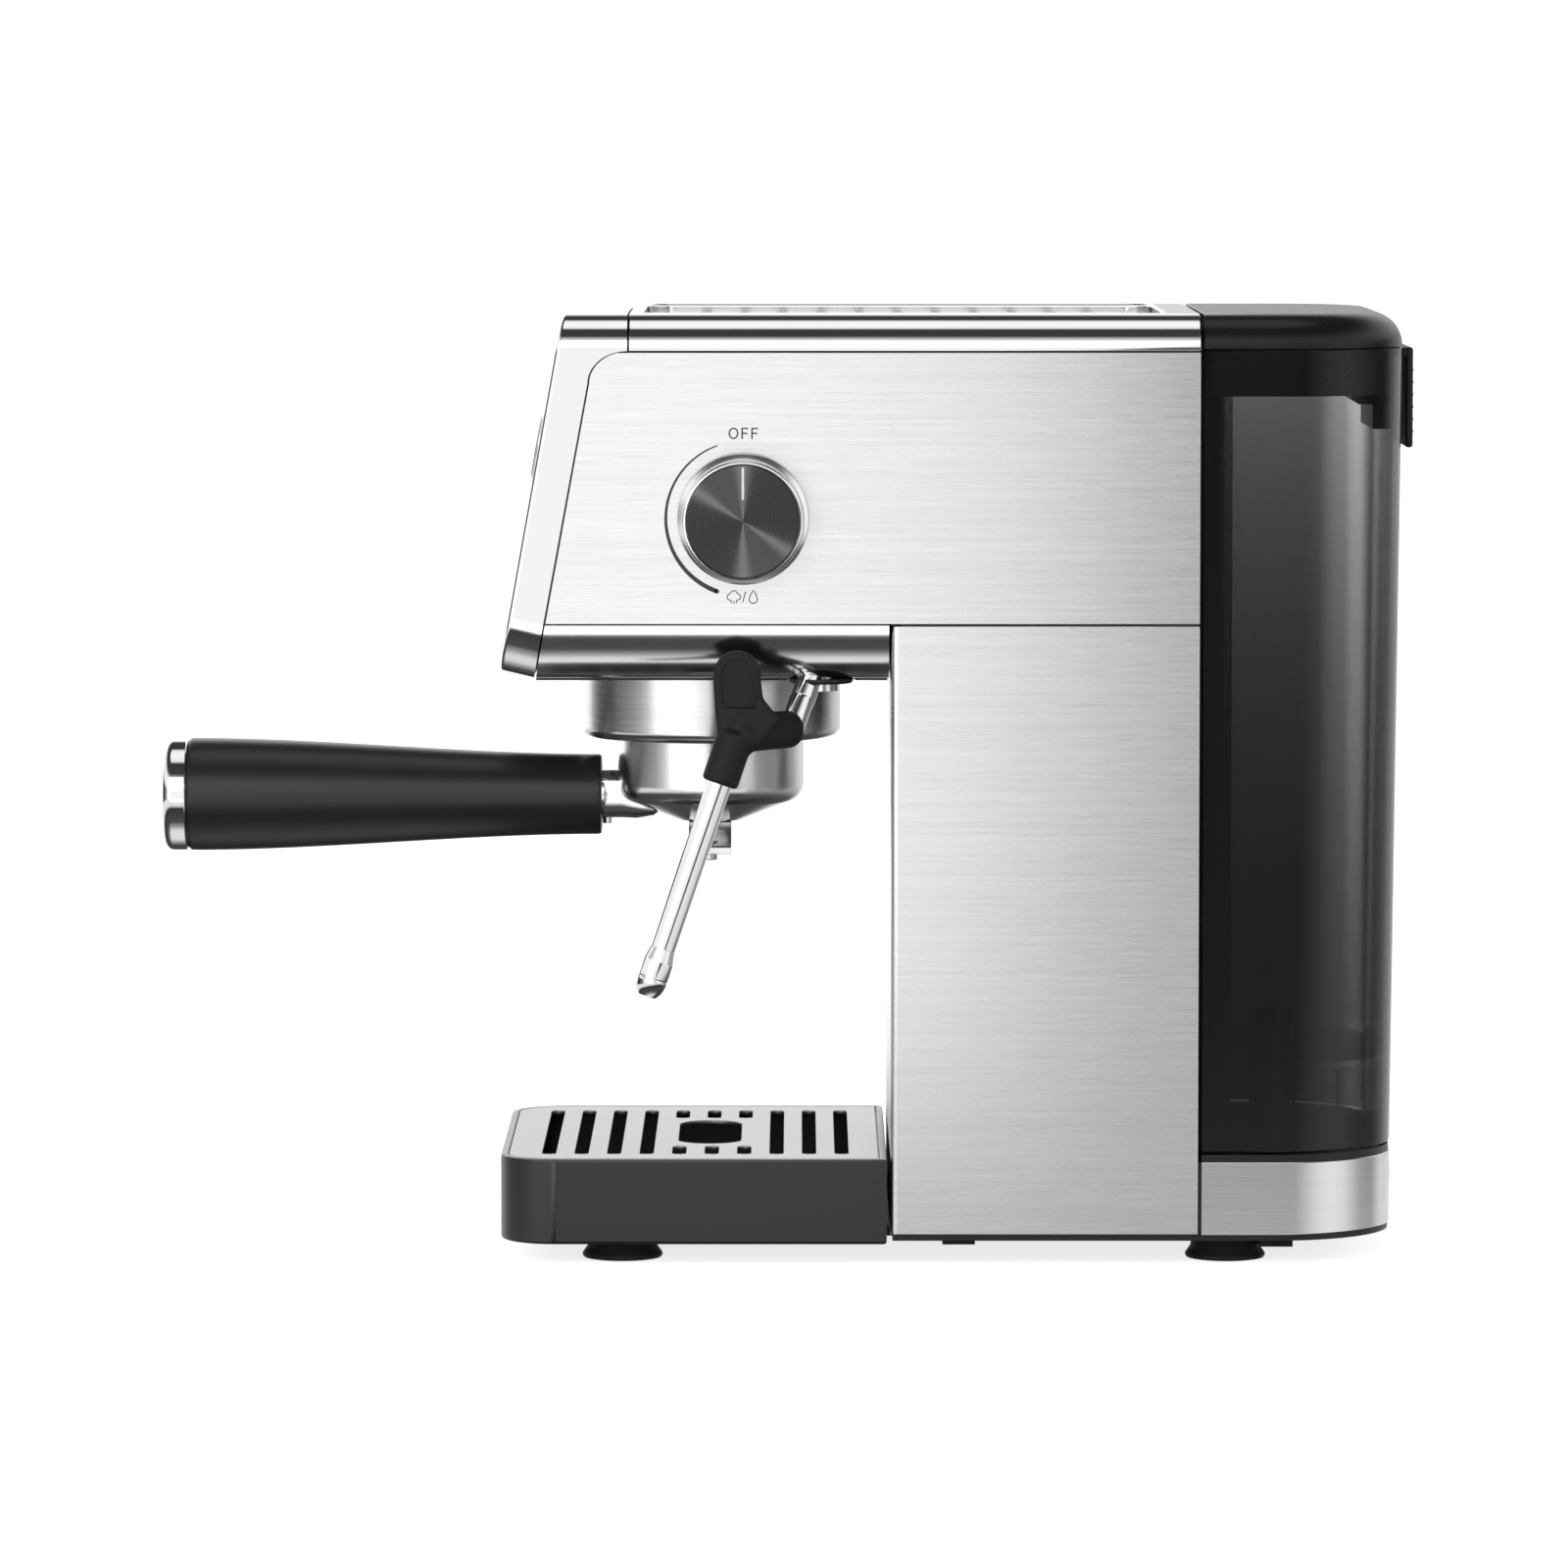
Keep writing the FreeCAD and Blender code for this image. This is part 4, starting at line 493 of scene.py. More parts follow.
across, deep, height = (room.node("SeparateXYZ", out=axis, n0=room.node("TexCoord", out="Generated"))
                        for axis in "XYZ")
level = (height - HORIZON).math("ABSOLUTE")
horizon = room.node("MapRange", {"interpolation_type": "SMOOTHSTEP"}, n0=level, n1=HORIZON_REACH[0],
                    n2=HORIZON_REACH[1])
zones = room.node("Mix", {"data_type": "RGBA"}, out=2, n0=horizon, n6=tones(height, 1.0, HEIGHT_TONES),
                  n7=tones(deep.math("ARCTAN2", across), math.pi, ROUND_TONES))
seen = room.node("MixShader", n0=room.node("LightPath", out="Is Camera Ray"), n1=room.node("Background", n0=zones),
                 n2=room.node("Background", n0=WHITE))
room.node("OutputWorld", n0=seen)
print("room has", len(HEIGHT_TONES), "tones by height and", len(ROUND_TONES), "round the horizon")


# %% [markdown]
# Soft boxes are area lights. A lit panel close to each side wraps the steel from the front to
# the middle, so that the flat sheets fade softly towards the rear, as they do beside a window.
# A lamp's power is its brightness times its area times pi.

# %% Soft boxes
BOX_PLACE = Vector((0.62, -0.305, 0.34))
BOX_SIZE = (0.92, 0.62)
BOX_LEAN = -8.0


def soft_box(name, side, brightness):
    """An area light beside the machine that faces it, leans and is not seen by the camera."""
    data = bpy.data.lights.new(name, "AREA")
    data.shape = "RECTANGLE"
    data.size, data.size_y = BOX_SIZE
    data.energy = brightness * data.size * data.size_y * math.pi
    light = put(name, data)
    light.location = (side * BOX_PLACE.x, BOX_PLACE.y, BOX_PLACE.z)
    facing = Vector((-side, 0, 0)).to_track_quat("-Z", "Y").to_matrix()
    light.rotation_euler = (Matrix.Rotation(math.radians(BOX_LEAN), 3, "X") @ facing).to_euler()
    light.visible_camera = False


soft_box("right_box", 1, 1.10)
soft_box("left_box", -1, 0.72)


# %% [markdown]
# The floor is a wide sheet of white paper with a little light of its own, so that it stays pale
# to the horizon and still shows the contact shadows. It is kept out of the metal's
# reflections, where the room's lower tones already stand for it.

# %% Floor
FLOOR_HALF = 30.0
sheet = bmesh.new()
sheet.faces.new([sheet.verts.new((x * FLOOR_HALF, y * FLOOR_HALF, 0))
                 for x, y in ((-1, -1), (1, -1), (1, 1), (-1, 1))])
floor = mesh_object("floor", sheet)
floor.visible_glossy = False
floor.visible_diffuse = False
floor.visible_shadow = False
floor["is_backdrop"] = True
print("floor is", 2 * FLOOR_HALF, "m wide")
# %% [markdown]
# Brushed stainless steel is bright metal with fine parallel scratches. Light spreads across the
# scratches, and single scratches show as faint lighter and darker streaks. Noise stretched
# a hundredfold along the brushing direction makes both: it shifts the colour and the roughness
# a little, and tilts the surface a very little.

# %% Brushed steel
def brushed(name, along, colour=(0.62, 0.615, 0.605), rough=0.27, streak=1.0, tilt=0.04):
    """Steel brushed along an axis, given as "x", "y" or "z", or round an upright axis, "xy"."""
    stretch = [0.012 if axis in along else 1.0 for axis in "xyz"]
    steel = Finish(name, Metallic=1.0)
    fine = steel.noise(5200.0, 2.0, stretch)
    broad = steel.noise(900.0, 3.0, stretch)
    cloud = steel.noise(9.0, 2.0)
    shade = (fine - 0.5) * streak + (broad - 0.5) * streak * 0.7 + (cloud - 0.5) * 0.2
    dark = tuple(c * 0.86 for c in colour)
    light = tuple(min(1.0, c * 1.14) for c in colour)
    steel.set(Base_Color=steel.blend(shade + 0.5, dark, light))
    steel.set(Roughness=(fine - 0.5) * 0.10 + (cloud - 0.5) * 0.05 + rough)
    steel.bump(fine, tilt)
    return steel.material


side_steel = brushed("brushed_steel_lengthwise", "y")
cross_steel = brushed("brushed_steel_crosswise", "x", rough=0.30)
ring_steel = brushed("brushed_steel_ring", "xy", colour=(0.58, 0.575, 0.565), rough=0.21, streak=0.9)
band_steel = brushed("brushed_steel_band", "xy", rough=0.17, streak=0.4, tilt=0.03)
# the grill's steel is a darker copy of the brushed steel: its colour is lowered as painted shade
grill_steel_painted_shade = brushed("brushed_steel_grill_painted_shade", "x", colour=(0.25, 0.248, 0.244), rough=0.34)
print("brushed steel:", side_steel.name, cross_steel.name)


# %% [markdown]
# The rounded strips above and below the side panels are polished. Polished steel is nearly a
# mirror, so it shows its surroundings as long light and dark bands. It is never perfect:
# broad, faint unevenness softens a band here and there. The trough under the head and the
# turned parts are a little duller, which softens the bands' edges.

# %% Polished steel, chrome and plain steel
def polished(name, colour, rough, uneven=0.03, wave=0.02):
    """Shiny metal with a faint, broad unevenness."""
    metal = Finish(name, Metallic=1.0)
    cloud = metal.noise(35.0, 4.0)
    film = metal.noise(260.0, 3.0, (1, 1, 0.3))
    metal.set(Base_Color=metal.blend(cloud, tuple(c * 0.97 for c in colour), colour))
    metal.set(Roughness=((cloud - 0.5) * uneven + (film - 0.5) * uneven * 0.6 + rough).at_least(0.02))
    metal.bump(cloud, wave)
    return metal.material


strip_steel = polished("polished_steel", (0.74, 0.735, 0.73), 0.08)
trough_steel = polished("satin_steel", (0.74, 0.735, 0.73), 0.16)
chrome = polished("chrome_plate", (0.72, 0.72, 0.72), 0.06)
knob_chrome = polished("knob_chrome", (0.76, 0.76, 0.755), 0.24)
bowl_chrome = polished("bowl_chrome", (0.70, 0.695, 0.685), 0.20)
plain_steel = polished("plain_steel", (0.56, 0.555, 0.54), 0.26, uneven=0.08)
cast_metal = polished("cast_aluminium", (0.55, 0.55, 0.54), 0.45, uneven=0.12, wave=0.25)
brass = polished("yellow_brass", (0.66, 0.46, 0.20), 0.28, uneven=0.08)
print("polished metals ready")


# %% [markdown]
# The knob's face is dark spun metal. The tool that presses on it while it turns leaves fine rings,
# and rings throw the light into bright wedges through the middle. Here the wedges are painted
# highlights in the base colour: the cosine of the angle to a line, raised to a high power, is a
# narrow wedge, and to a low power a broad one. Noise by the distance to the axis makes the rings.

# %% Spun metal with painted highlight wedges
KNOB_Y = (low("knob_face", "y") + high("knob_face", "y")) / 2
KNOB_Z = (low("knob_face", "z") + high("knob_face", "z")) / 2
PAINTED_HIGHLIGHT_WEDGES = [(0.0, 90.0, 0.085), (-57.0, 120.0, 0.085), (-28.0, 5.0, 0.028)]


def spun(name, dark, rough):
    """Metal turned about the knob's axis, with painted highlight wedges; each has an angle, a power and a
    brightness.
    """
    metal = Finish(name, Metallic=1.0)

    def vector(operation, first, second=(0, 0, 0), out="Vector"):
        return metal.node("VectorMath", {"operation": operation}, out, n0=first, n1=second)

    offset = vector("SUBTRACT", metal.spot(), (0, KNOB_Y * MM, KNOB_Z * MM))
    flat = vector("MULTIPLY", offset, (0, 1, 1))
    radius = vector("LENGTH", flat, out="Value")
    spoke = vector("NORMALIZE", flat)
    rings = metal.node("TexNoise", {"noise_dimensions": "1D"}, W=radius, Scale=2600.0, Detail=3.0)
    tone = (rings - 0.5) * 0.03 + dark
    # each wedge adds a painted highlight to the base colour
    for angle, power, bright in PAINTED_HIGHLIGHT_WEDGES:
        a = math.radians(angle)
        along = vector("DOT_PRODUCT", spoke, (0, math.sin(a), math.cos(a)), "Value")
        tone = tone + (along * along) ** (power / 2) * bright
    metal.set(Base_Color=metal.node("CombineColor", n0=tone, n1=tone * 0.99, n2=tone * 0.98))
    metal.set(Roughness=(rings - 0.5) * 0.14 + rough)
    metal.bump(rings, 0.10)
    return metal.material


knob_metal = spun("spun_metal", 0.035, 0.30)
print("spun metal centred at y", round(KNOB_Y, 1), "z", round(KNOB_Z, 1))


# %% [markdown]
# The black parts differ in their skin. Moulded housings carry a fine spark-eroded texture that
# keeps them matt, the lid is smoother, and rubber is the dullest. One function makes them all
# from a grain size, a roughness and a depth.

# %% Black plastics and rubber
def moulded(name, colour, rough, grain=2200.0, depth=0.12, specular=0.5):
    """Moulded plastic or rubber with a fine grain."""
    skin = Finish(name, Specular_IOR_Level=specular)
    fine = skin.noise(grain, 2.0)
    cloud = skin.noise(24.0, 3.0)
    skin.set(Base_Color=skin.blend(cloud, tuple(c * 0.85 for c in colour), tuple(c * 1.15 for c in colour)))
    skin.set(Roughness=(fine - 0.5) * 0.12 + (cloud - 0.5) * 0.06 + rough)
    skin.bump(fine, depth)
    return skin.material


black_plastic = moulded("black_plastic", (0.013, 0.013, 0.014), 0.42, specular=0.3)
tray_plastic = moulded("tray_plastic", (0.005, 0.005, 0.0055), 0.30, specular=0.6)
lid_plastic = moulded("gloss_black", (0.009, 0.009, 0.010), 0.26, grain=3000.0, depth=0.04, specular=0.22)
handle_plastic = moulded("handle_plastic", (0.014, 0.014, 0.015), 0.34, depth=0.05, specular=0.35)
rubber = moulded("black_rubber", (0.012, 0.012, 0.012), 0.55, grain=1500.0, depth=0.15, specular=0.2)
button_skin = moulded("button_plastic", (0.36, 0.36, 0.355), 0.34, grain=2600.0, depth=0.06)
hose_skin = moulded("silicone_hose", (0.62, 0.62, 0.60), 0.40, grain=800.0)
board_skin = moulded("circuit_board", (0.02, 0.16, 0.07), 0.40, grain=500.0)
ink = moulded("dial_ink", (0.035, 0.035, 0.036), 0.50)
pointer_ink = moulded("pointer_line", (0.80, 0.80, 0.79), 0.40)
lamp_ring = moulded("lamp_ring", (0.78, 0.79, 0.80), 0.35)
paper = Finish("floor_paper", Emission_Strength=0.8, Specular_IOR_Level=0.0)
grain = paper.noise(3.0, 2.0)
paper.set(Base_Color=paper.blend(grain, (0.78, 0.78, 0.78), (0.82, 0.82, 0.82)))
paper.set(Emission_Color=paper.blend(grain, (0.97, 0.97, 0.97), (1.0, 1.0, 1.0)))
floor.data.materials.append(paper.material)
print("plastics and paper ready")


# %% [markdown]
# The tank is smoky see-through plastic. Light passes four skins on its way through the tank. Towards
# the foot, where light enters at a low angle and the ribs shade it, the tank is painted darker: an
# alpha that grows downwards is painted shade, which looks as a tinted volume in that light would, at
# a fraction of the render time, and it survives an export. A band where the rear corner begins to turn
# is painted clearer as a painted highlight, and the wall behind it, where one looks along it, is painted darker as
# painted shade.

# %% Smoky tank
PAINTED_HIGHLIGHT_BAND = 12.5
PAINTED_HIGHLIGHT_REACH = 8.0
PAINTED_SHADE_BAND = 7.0
PAINTED_SHADE_REACH = 4.0


def smoky(name):
    """See-through plastic, painted darker towards its foot as painted shade, with a painted highlight band at the
    rear corner and painted shade behind it.
    """
    skin = Finish(name, IOR=1.49, Specular_IOR_Level=0.35)
    foot = low("tank_shell", "z")
    height = skin.node("SeparateXYZ", out="Z", n0=skin.spot())
    # painted shade: the alpha grows as the height falls towards the foot
    share = ((height - foot * MM) / ((TOP - foot) * MM)).at_least(0.0).at_most(1.0)
    cloud = skin.noise(14.0, 2.0)
    skin.set(Base_Color=skin.blend(cloud, (0.008, 0.008, 0.0085), (0.013, 0.013, 0.0135)))
    skin.set(Roughness=(cloud - 0.5) * 0.04 + 0.09)
    depth = skin.node("SeparateXYZ", out="Y", n0=skin.spot())
    # painted highlight: a band where the rear corner turns is made clearer
    off = (depth - (TANK_REAR - PAINTED_HIGHLIGHT_BAND) * MM) / (PAINTED_HIGHLIGHT_REACH * MM)
    corner = (1.0 - off * off).at_least(0.0)
    # painted shade: the wall behind the corner band is made darker
    edge = ((depth - (TANK_REAR - PAINTED_SHADE_BAND) * MM) / (PAINTED_SHADE_REACH * MM)).at_least(0.0).at_most(1.0)
    skin.set(Alpha=((1.0 - share) ** 0.8 * 0.43 + 0.42 - corner * 0.32 + edge * 0.30).at_most(0.95))
    return skin.material


tank_skin = smoky("smoky_clear")
print("tank skin ready")


# %% [markdown]
# Every node of the frame gets one of these finishes at once. Pieces that are built below
# replace the nodes that show most, and the others keep the frame's exact shape.

# %% Dress the frame's own nodes
BY_SLOT = {
    "brushed_steel": side_steel, "polished_steel": strip_steel, "chrome_plate": chrome,
    "spun_metal": knob_metal, "plain_steel": plain_steel, "cast_aluminium": cast_metal,
    "yellow_brass": brass, "black_plastic": black_plastic, "gloss_black": lid_plastic,
    "button_plastic": button_skin, "black_rubber": rubber, "smoky_clear": tank_skin,
    "silicone_hose": hose_skin, "circuit_board": board_skin,
}
for name, node in frame["nodes"].items():
    for slot in node.material_slots:
        slot.material = BY_SLOT[SLOT_OF[name]]
print("dressed", len(frame["nodes"]), "nodes")


# %% [markdown]
# The head is one rounded tube cut at a slant: its fascia leans back, and the seam behind the
# fascia leans with it before it curves into the top. All the covers share one outline of the
# head, so their edges meet. `front_y` is the leaning plane and `seam_y` is the seam, both as a
# function of height, and every loop of the fascia takes its depth from them.

# %% The head's outline, plane and seam
NOSE_Z = HEAD_FOOT + 2.3
LEAN = 20.6
SEAM_GAP = 0.6
FASCIA_TOP_REAR = high("front_panel", "y")
FASCIA_FOOT_REAR = FRONT + 11.1
BEND_Y = FASCIA_TOP_REAR - 12.7
BEND_Z = TOP_SEAM - 10.5
SKIN = 1.2


def bend_heights(top):
    """Heights from the start of the seam's bend up to a top, closer together towards the top."""
    return [BEND_Z + (top - BEND_Z) * math.sin(math.radians(90 * i / 12)) for i in range(13)]


def head_outline(inset, foot=HEAD_FOOT, steps=16):
    """The head's (x, z) outline, moved in by an amount, with extra points where the seam bends."""
    half = HALF - inset
    r0 = FOOT_ROUND - inset
    r1 = TOP_ROUND - inset
    right = arc(half - r0, foot + inset + r0, r0, 270, 360, steps)
    right += [(half, z) for z in bend_heights(TOP_SEAM)[:-1]]
    right += arc(half - r1, TOP - inset - r1, r1, 0, 90, steps)
    return right + [(-x, z) for x, z in reversed(right)]


def front_y(z):
    """The fascia's leaning plane."""
    return FRONT + (z - NOSE_Z) * LEAN / (TOP - NOSE_Z)


def seam_y(z):
    """The seam behind the fascia: straight, then a quarter of an ellipse."""
    if z <= BEND_Z:
        return FASCIA_FOOT_REAR + (z - HEAD_FOOT) * (BEND_Y - FASCIA_FOOT_REAR) / (BEND_Z - HEAD_FOOT)
    rise = min((z - BEND_Z) / (TOP_SEAM - BEND_Z), 1.0)
    return FASCIA_TOP_REAR + (BEND_Y - FASCIA_TOP_REAR) * math.sqrt(1.0 - rise * rise)


print("fascia leans from", round(front_y(NOSE_Z), 1), "to", round(front_y(TOP), 1))


# %% [markdown]
# The fascia is a pressed steel cap. Its front edge has a radius of about a millimetre and a half,
# which is drawn by a few loops that step inwards as they come forward along a quarter circle. The
# last loops go back along the inside, so the sheet has a real thickness at the seam.

# %% Fascia with its button holes
FASCIA_EDGE = 1.4
LEAN_ANGLE = math.atan2(LEAN, TOP - NOSE_Z)
LEAN_TURN = Matrix.Rotation(-LEAN_ANGLE, 3, "X")
NOSE = Vector((0, FRONT, NOSE_Z))
BUTTON_UP = 72.0
BUTTON_PITCH = 33.0
BUTTON_RADIUS = 10.5
BEZEL = 2.2
BUTTON_SPOTS = {"one_cup": -BUTTON_PITCH, "two_cups": 0.0, "steam": BUTTON_PITCH}


def on_fascia(x, depth, up):
    """A point given across, into and up the fascia."""
    return NOSE + LEAN_TURN @ Vector((x, depth, up))


def fascia():
    """The steel cap that closes the front of the head."""
    loops = []
    for step in range(6):
        a = math.radians(90 * step / 5)
        inset = FASCIA_EDGE * (1 - math.sin(a))
        depth = FASCIA_EDGE * (1 - math.cos(a))
        outline = head_outline(inset, NOSE_Z)
        loops.append([(x, front_y(z) + depth, z) for x, z in outline])
    loops.append([(x, seam_y(z), z) for x, z in head_outline(0)])
    loops.append([(x, seam_y(z), z) for x, z in head_outline(SKIN)])
    loops.append([(x, front_y(z) + FASCIA_EDGE, z) for x, z in head_outline(SKIN, NOSE_Z)])
    loops.append([(x, front_y(z) + SKIN, z) for x, z in head_outline(SKIN + 1, NOSE_Z)])
    piece = bridge("fascia", loops)
    into = LEAN_TURN @ Vector((0, 1, 0))
    for x in BUTTON_SPOTS.values():
        carve(piece, cylinder("hole", BUTTON_RADIUS + BEZEL, 12, on_fascia(x, -5, BUTTON_UP), into, 64))
    return smooth(piece, 30.0)


finish_piece(fascia(), strip_steel, "front_panel")
print("fascia built")


# %% [markdown]
# Each button is a round cap that dishes very slightly, inside a bright bezel with a pale lamp
# ring. The cap has a rounded rim and a small raised sign: one cup, two cups, or steam. A sign
# that can be felt helps a user who looks from above, so it is modelled and not painted.

# %% Buttons, bezels and lamp rings
OUTWARDS = LEAN_TURN @ Vector((0, -1, 0))
SIGN_HEIGHT = 0.3
SIGN_DEPTH = 1.25
SIGNS = {"one_cup": [(0, 0, 1.6)], "two_cups": [(-2.4, 0, 1.6), (2.4, 0, 1.6)],
         "steam": [(-2.2, -1.6, 0.8), (0, 0.2, 0.8), (2.2, 2.0, 0.8), (2.2, -1.6, 0.8), (-2.2, 2.0, 0.8)]}


def lean_lathe(name, profile, x):
    """Turn a profile about the axis of the button at x; heights count outwards."""
    return lathe(name, profile, on_fascia(x, 0, BUTTON_UP), OUTWARDS, 64)


def sign_disc(x, across, up, radius):
    """A small raised disc of a sign."""
    centre = on_fascia(x + across, -SIGN_DEPTH, BUTTON_UP + up)
    profile = [(radius, -0.4), (radius, SIGN_HEIGHT - 0.15), (radius - 0.15, SIGN_HEIGHT), (0, SIGN_HEIGHT)]
    return lathe("sign", profile, centre, OUTWARDS, 24)


def button(label, x):
    """A dished push button with its raised sign."""
    r = BUTTON_RADIUS - 0.3
    profile = [(0, -4.6), (r, -4.6), (r, 0.7)] + arc(r - 0.9, 0.7, 0.9, 0, 90, 5) + [(r - 3, 1.5), (0, 1.35)]
    cap = lean_lathe("button_cap_" + label, profile, x)
    signs = [sign_disc(x, across, up, size) for across, up, size in SIGNS[label]]
    return smooth(join("button_" + label + "_cap", cap, *signs), 35.0)


for label, x in BUTTON_SPOTS.items():
    finish_piece(button(label, x), button_skin, "button_" + label)

OUTER = BUTTON_RADIUS + BEZEL
INNER = BUTTON_RADIUS + 0.2
LAMP = INNER + 1.1
ROOT = -6
bezel = [(OUTER, ROOT), (OUTER, 0.4)] + arc(OUTER - 0.6, 0.4, 0.6, 0, 90, 4)
bezel += [(LAMP, 1.0), (LAMP, 0.7), (LAMP, ROOT), (OUTER, ROOT)]
lamp = [(LAMP, ROOT), (LAMP, 0.6), (INNER, 0.6), (INNER, ROOT), (LAMP, ROOT)]
bezels = [lean_lathe("bezel", bezel, x) for x in BUTTON_SPOTS.values()]
rings = [lean_lathe("ring", lamp, x) for x in BUTTON_SPOTS.values()]
finish_piece(smooth(join("bezel_rings", *bezels)), chrome, "button_bezels")
finish_piece(smooth(join("lamp_rings", *rings)), lamp_ring, "button_bezels", replace=False)
print("buttons built:", sorted(BUTTON_SPOTS))


# %% [markdown]
# The top cover is a folded sheet with quarter-round sides. Its outline is pushed from front
# to rear, the cup recess is punched through it, and a separate lip lines the recess. The
# lip's own loops carry the small roll that the press leaves along the opening.

# %% Top cover with the cup recess
RECESS_HALF = HALF - 17.0
RECESS_FRONT = FASCIA_TOP_REAR + 4.7
RECESS_REAR = COLUMN_REAR - 11.1
RECESS_CORNER = 8.0
PLATE_TOP = high("cup_plate", "z")
PLATE_FOOT = low("cup_plate", "z")


def recess_outline(grow):
    """The plan of the cup recess, grown by an amount."""
    middle = (RECESS_FRONT + RECESS_REAR) / 2
    corner = RECESS_CORNER + grow
    outline = rounded(RECESS_HALF + grow, RECESS_FRONT - middle - grow, RECESS_REAR - middle + grow, corner,
                      corner, 10)
    return [(x, y + middle) for x, y in outline]


def upper_shell(inset):
    """The part of the head's outline above the top seam, from right to left."""
    return [(x, z) for x, z in head_outline(inset) if z >= TOP_SEAM - 0.01]


def top_cover():
    """Folded cover with quarter-round sides and a lined opening."""
    outline = upper_shell(0) + upper_shell(SKIN)[::-1]
    cover = prism("top_skin", outline, "y", FASCIA_TOP_REAR + SEAM_GAP, COLUMN_REAR)
    carve(cover, prism("punch", recess_outline(0.5), "z", TOP - 20, TOP + 5))
    soften(cover, 0.3, 2)
    steps = [(0.9, TOP), (0.35, TOP - 0.1), (0.05, TOP - 0.45), (0, TOP - 1.0), (0, PLATE_FOOT), (-3, PLATE_FOOT),
             (-3, PLATE_FOOT - SKIN), (1.0, PLATE_FOOT - SKIN), (1.0, TOP - 0.6)]
    lip = bridge("lip", [[(x, y, z) for x, y in recess_outline(grow)] for grow, z in steps], ring=True)
    return join("top_cover_shell", cover, smooth(lip, 50.0))


finish_piece(top_cover(), strip_steel, "top_cover")
print("top cover built; recess is", 2 * RECESS_HALF, "mm wide")


# %% [markdown]
# The cup plate is a loose sheet with rows of short slots, so that warm air reaches the cups. All
# slots are one cutter with many islands, which the Boolean solver takes in a single step.

# %% Cup plate
PLATE_PITCH = 12.9
PLATE_MARGIN = 4.0
PLATE_COLUMNS = 4


def capsule(half_length, radius, steps=8):
    """A slot's outline with round ends."""
    return (arc(half_length - radius, 0, radius, -90, 90, steps) +
            arc(radius - half_length, 0, radius, 90, 270, steps))


def many(name, outline, spots, z0, z1):
    """Copies of one outline at many places, pushed along z, as a single cutter."""
    bm = bmesh.new()
    for cx, cy in spots:
        rows = [[bm.verts.new((cx + x, cy + y, z)) for x, y in outline] for z in (z0, z1)]
        for i in range(len(outline)):
            j = (i + 1) % len(outline)
            bm.faces.new((rows[0][i], rows[0][j], rows[1][j], rows[1][i]))
        bm.faces.new(rows[0][::-1])
        bm.faces.new(rows[1])
    return make_object(name, bm)


def cup_plate():
    """Slotted sheet in the recess."""
    plate = prism("cup_plate_sheet", recess_outline(-0.2), "z", PLATE_FOOT, PLATE_TOP)
    rows = int((RECESS_REAR - RECESS_FRONT - PLATE_PITCH) / PLATE_PITCH)
    middle = (RECESS_REAR + RECESS_FRONT) / 2
    step = 2 * (RECESS_HALF - PLATE_MARGIN) / PLATE_COLUMNS
    spots = [((k - (PLATE_COLUMNS - 1) / 2) * step, middle + (i - (rows - 1) / 2) * PLATE_PITCH)
             for i in range(rows) for k in range(PLATE_COLUMNS)]
    carve(plate, many("slots", capsule(10.0, 1.6), spots, PLATE_FOOT - 3, PLATE_TOP + 3))
    return soften(plate, 0.25, 2)


finish_piece(cup_plate(), cross_steel, "cup_plate")
print("cup plate built")


# %% [markdown]
# Under the head a polished trough closes the tube. It is the lower half of the same outline,
# bridged from the leaning seam to the front of the column, with round holes for the group
# and for the steam pipe. A thin black strip under its flat part is painted shade along the head's lower edge.

# %% Head bottom
COLLAR_ROOM = high("group_collar", "x") + 0.3
GROUP_HOLE = 38.2
PIPE_HOLE = 5.5
DISC_ROOM = 11.0
PIPE = Vector(((low("steam_escutcheon", "x") + high("steam_escutcheon", "x")) / 2,
               (low("steam_escutcheon", "y") + high("steam_escutcheon", "y")) / 2, HEAD_FOOT))


def head_bottom():
    """Polished trough under the head."""
    top = high("head_bottom_cover", "z")

    def half_outline(inset):
        arcs = [(x, z) for x, z in head_outline(inset, steps=20) if z < TOP_SEAM - 20]
        left = [p for p in arcs if p[0] < 0]
        right = [p for p in arcs if p[0] >= 0]
        return [(inset - HALF, top)] + left + right + [(HALF - inset, top)]

    outline = half_outline(0) + half_outline(SKIN)[::-1]
    rear = COLUMN_FRONT - SEAM_GAP
    loops = [[(x, seam_y(z) + SEAM_GAP, z) for x, z in outline], [(x, rear, z) for x, z in outline]]
    trough = bridge("head_bottom_trough", loops)
    carve(trough, cylinder("hole", GROUP_HOLE, 8, (0, 0, HEAD_FOOT - 4)),
          cylinder("hole", PIPE_HOLE, 8, (PIPE.x, PIPE.y, HEAD_FOOT - 4), steps=32))
    return soften(trough, 0.3, 2)


finish_piece(head_bottom(), trough_steel, "head_bottom_cover")
# a thin black strip under the trough's flat part: painted shade along the head's lower edge
flat = HALF - FOOT_ROUND
skirt = box_piece("head_bottom_shade_strip", -flat, flat, seam_y(HEAD_FOOT) + SEAM_GAP, COLUMN_FRONT - 1.0,
                  HEAD_FOOT - 0.7, HEAD_FOOT + 0.05)
for spot_x, spot_y, radius in ((0, 0, COLLAR_ROOM), (PIPE.x, PIPE.y, DISC_ROOM)):
    carve(skirt, cylinder("hole", radius, 8, (spot_x, spot_y, HEAD_FOOT - 4)))
finish_piece(skirt, black_plastic, "head_bottom_cover", replace=False)
print("head bottom built")


# %% [markdown]
# The side panels are flat sheets with a fine radius on every edge. The upper ones follow the
# seam, and the lower ones are folded round at the front, where the fold shows as one bright
# vertical line beside the column's front. A black liner lies behind every gap as painted shade,
# so that each seam is a dark line and shows nothing of the inside.

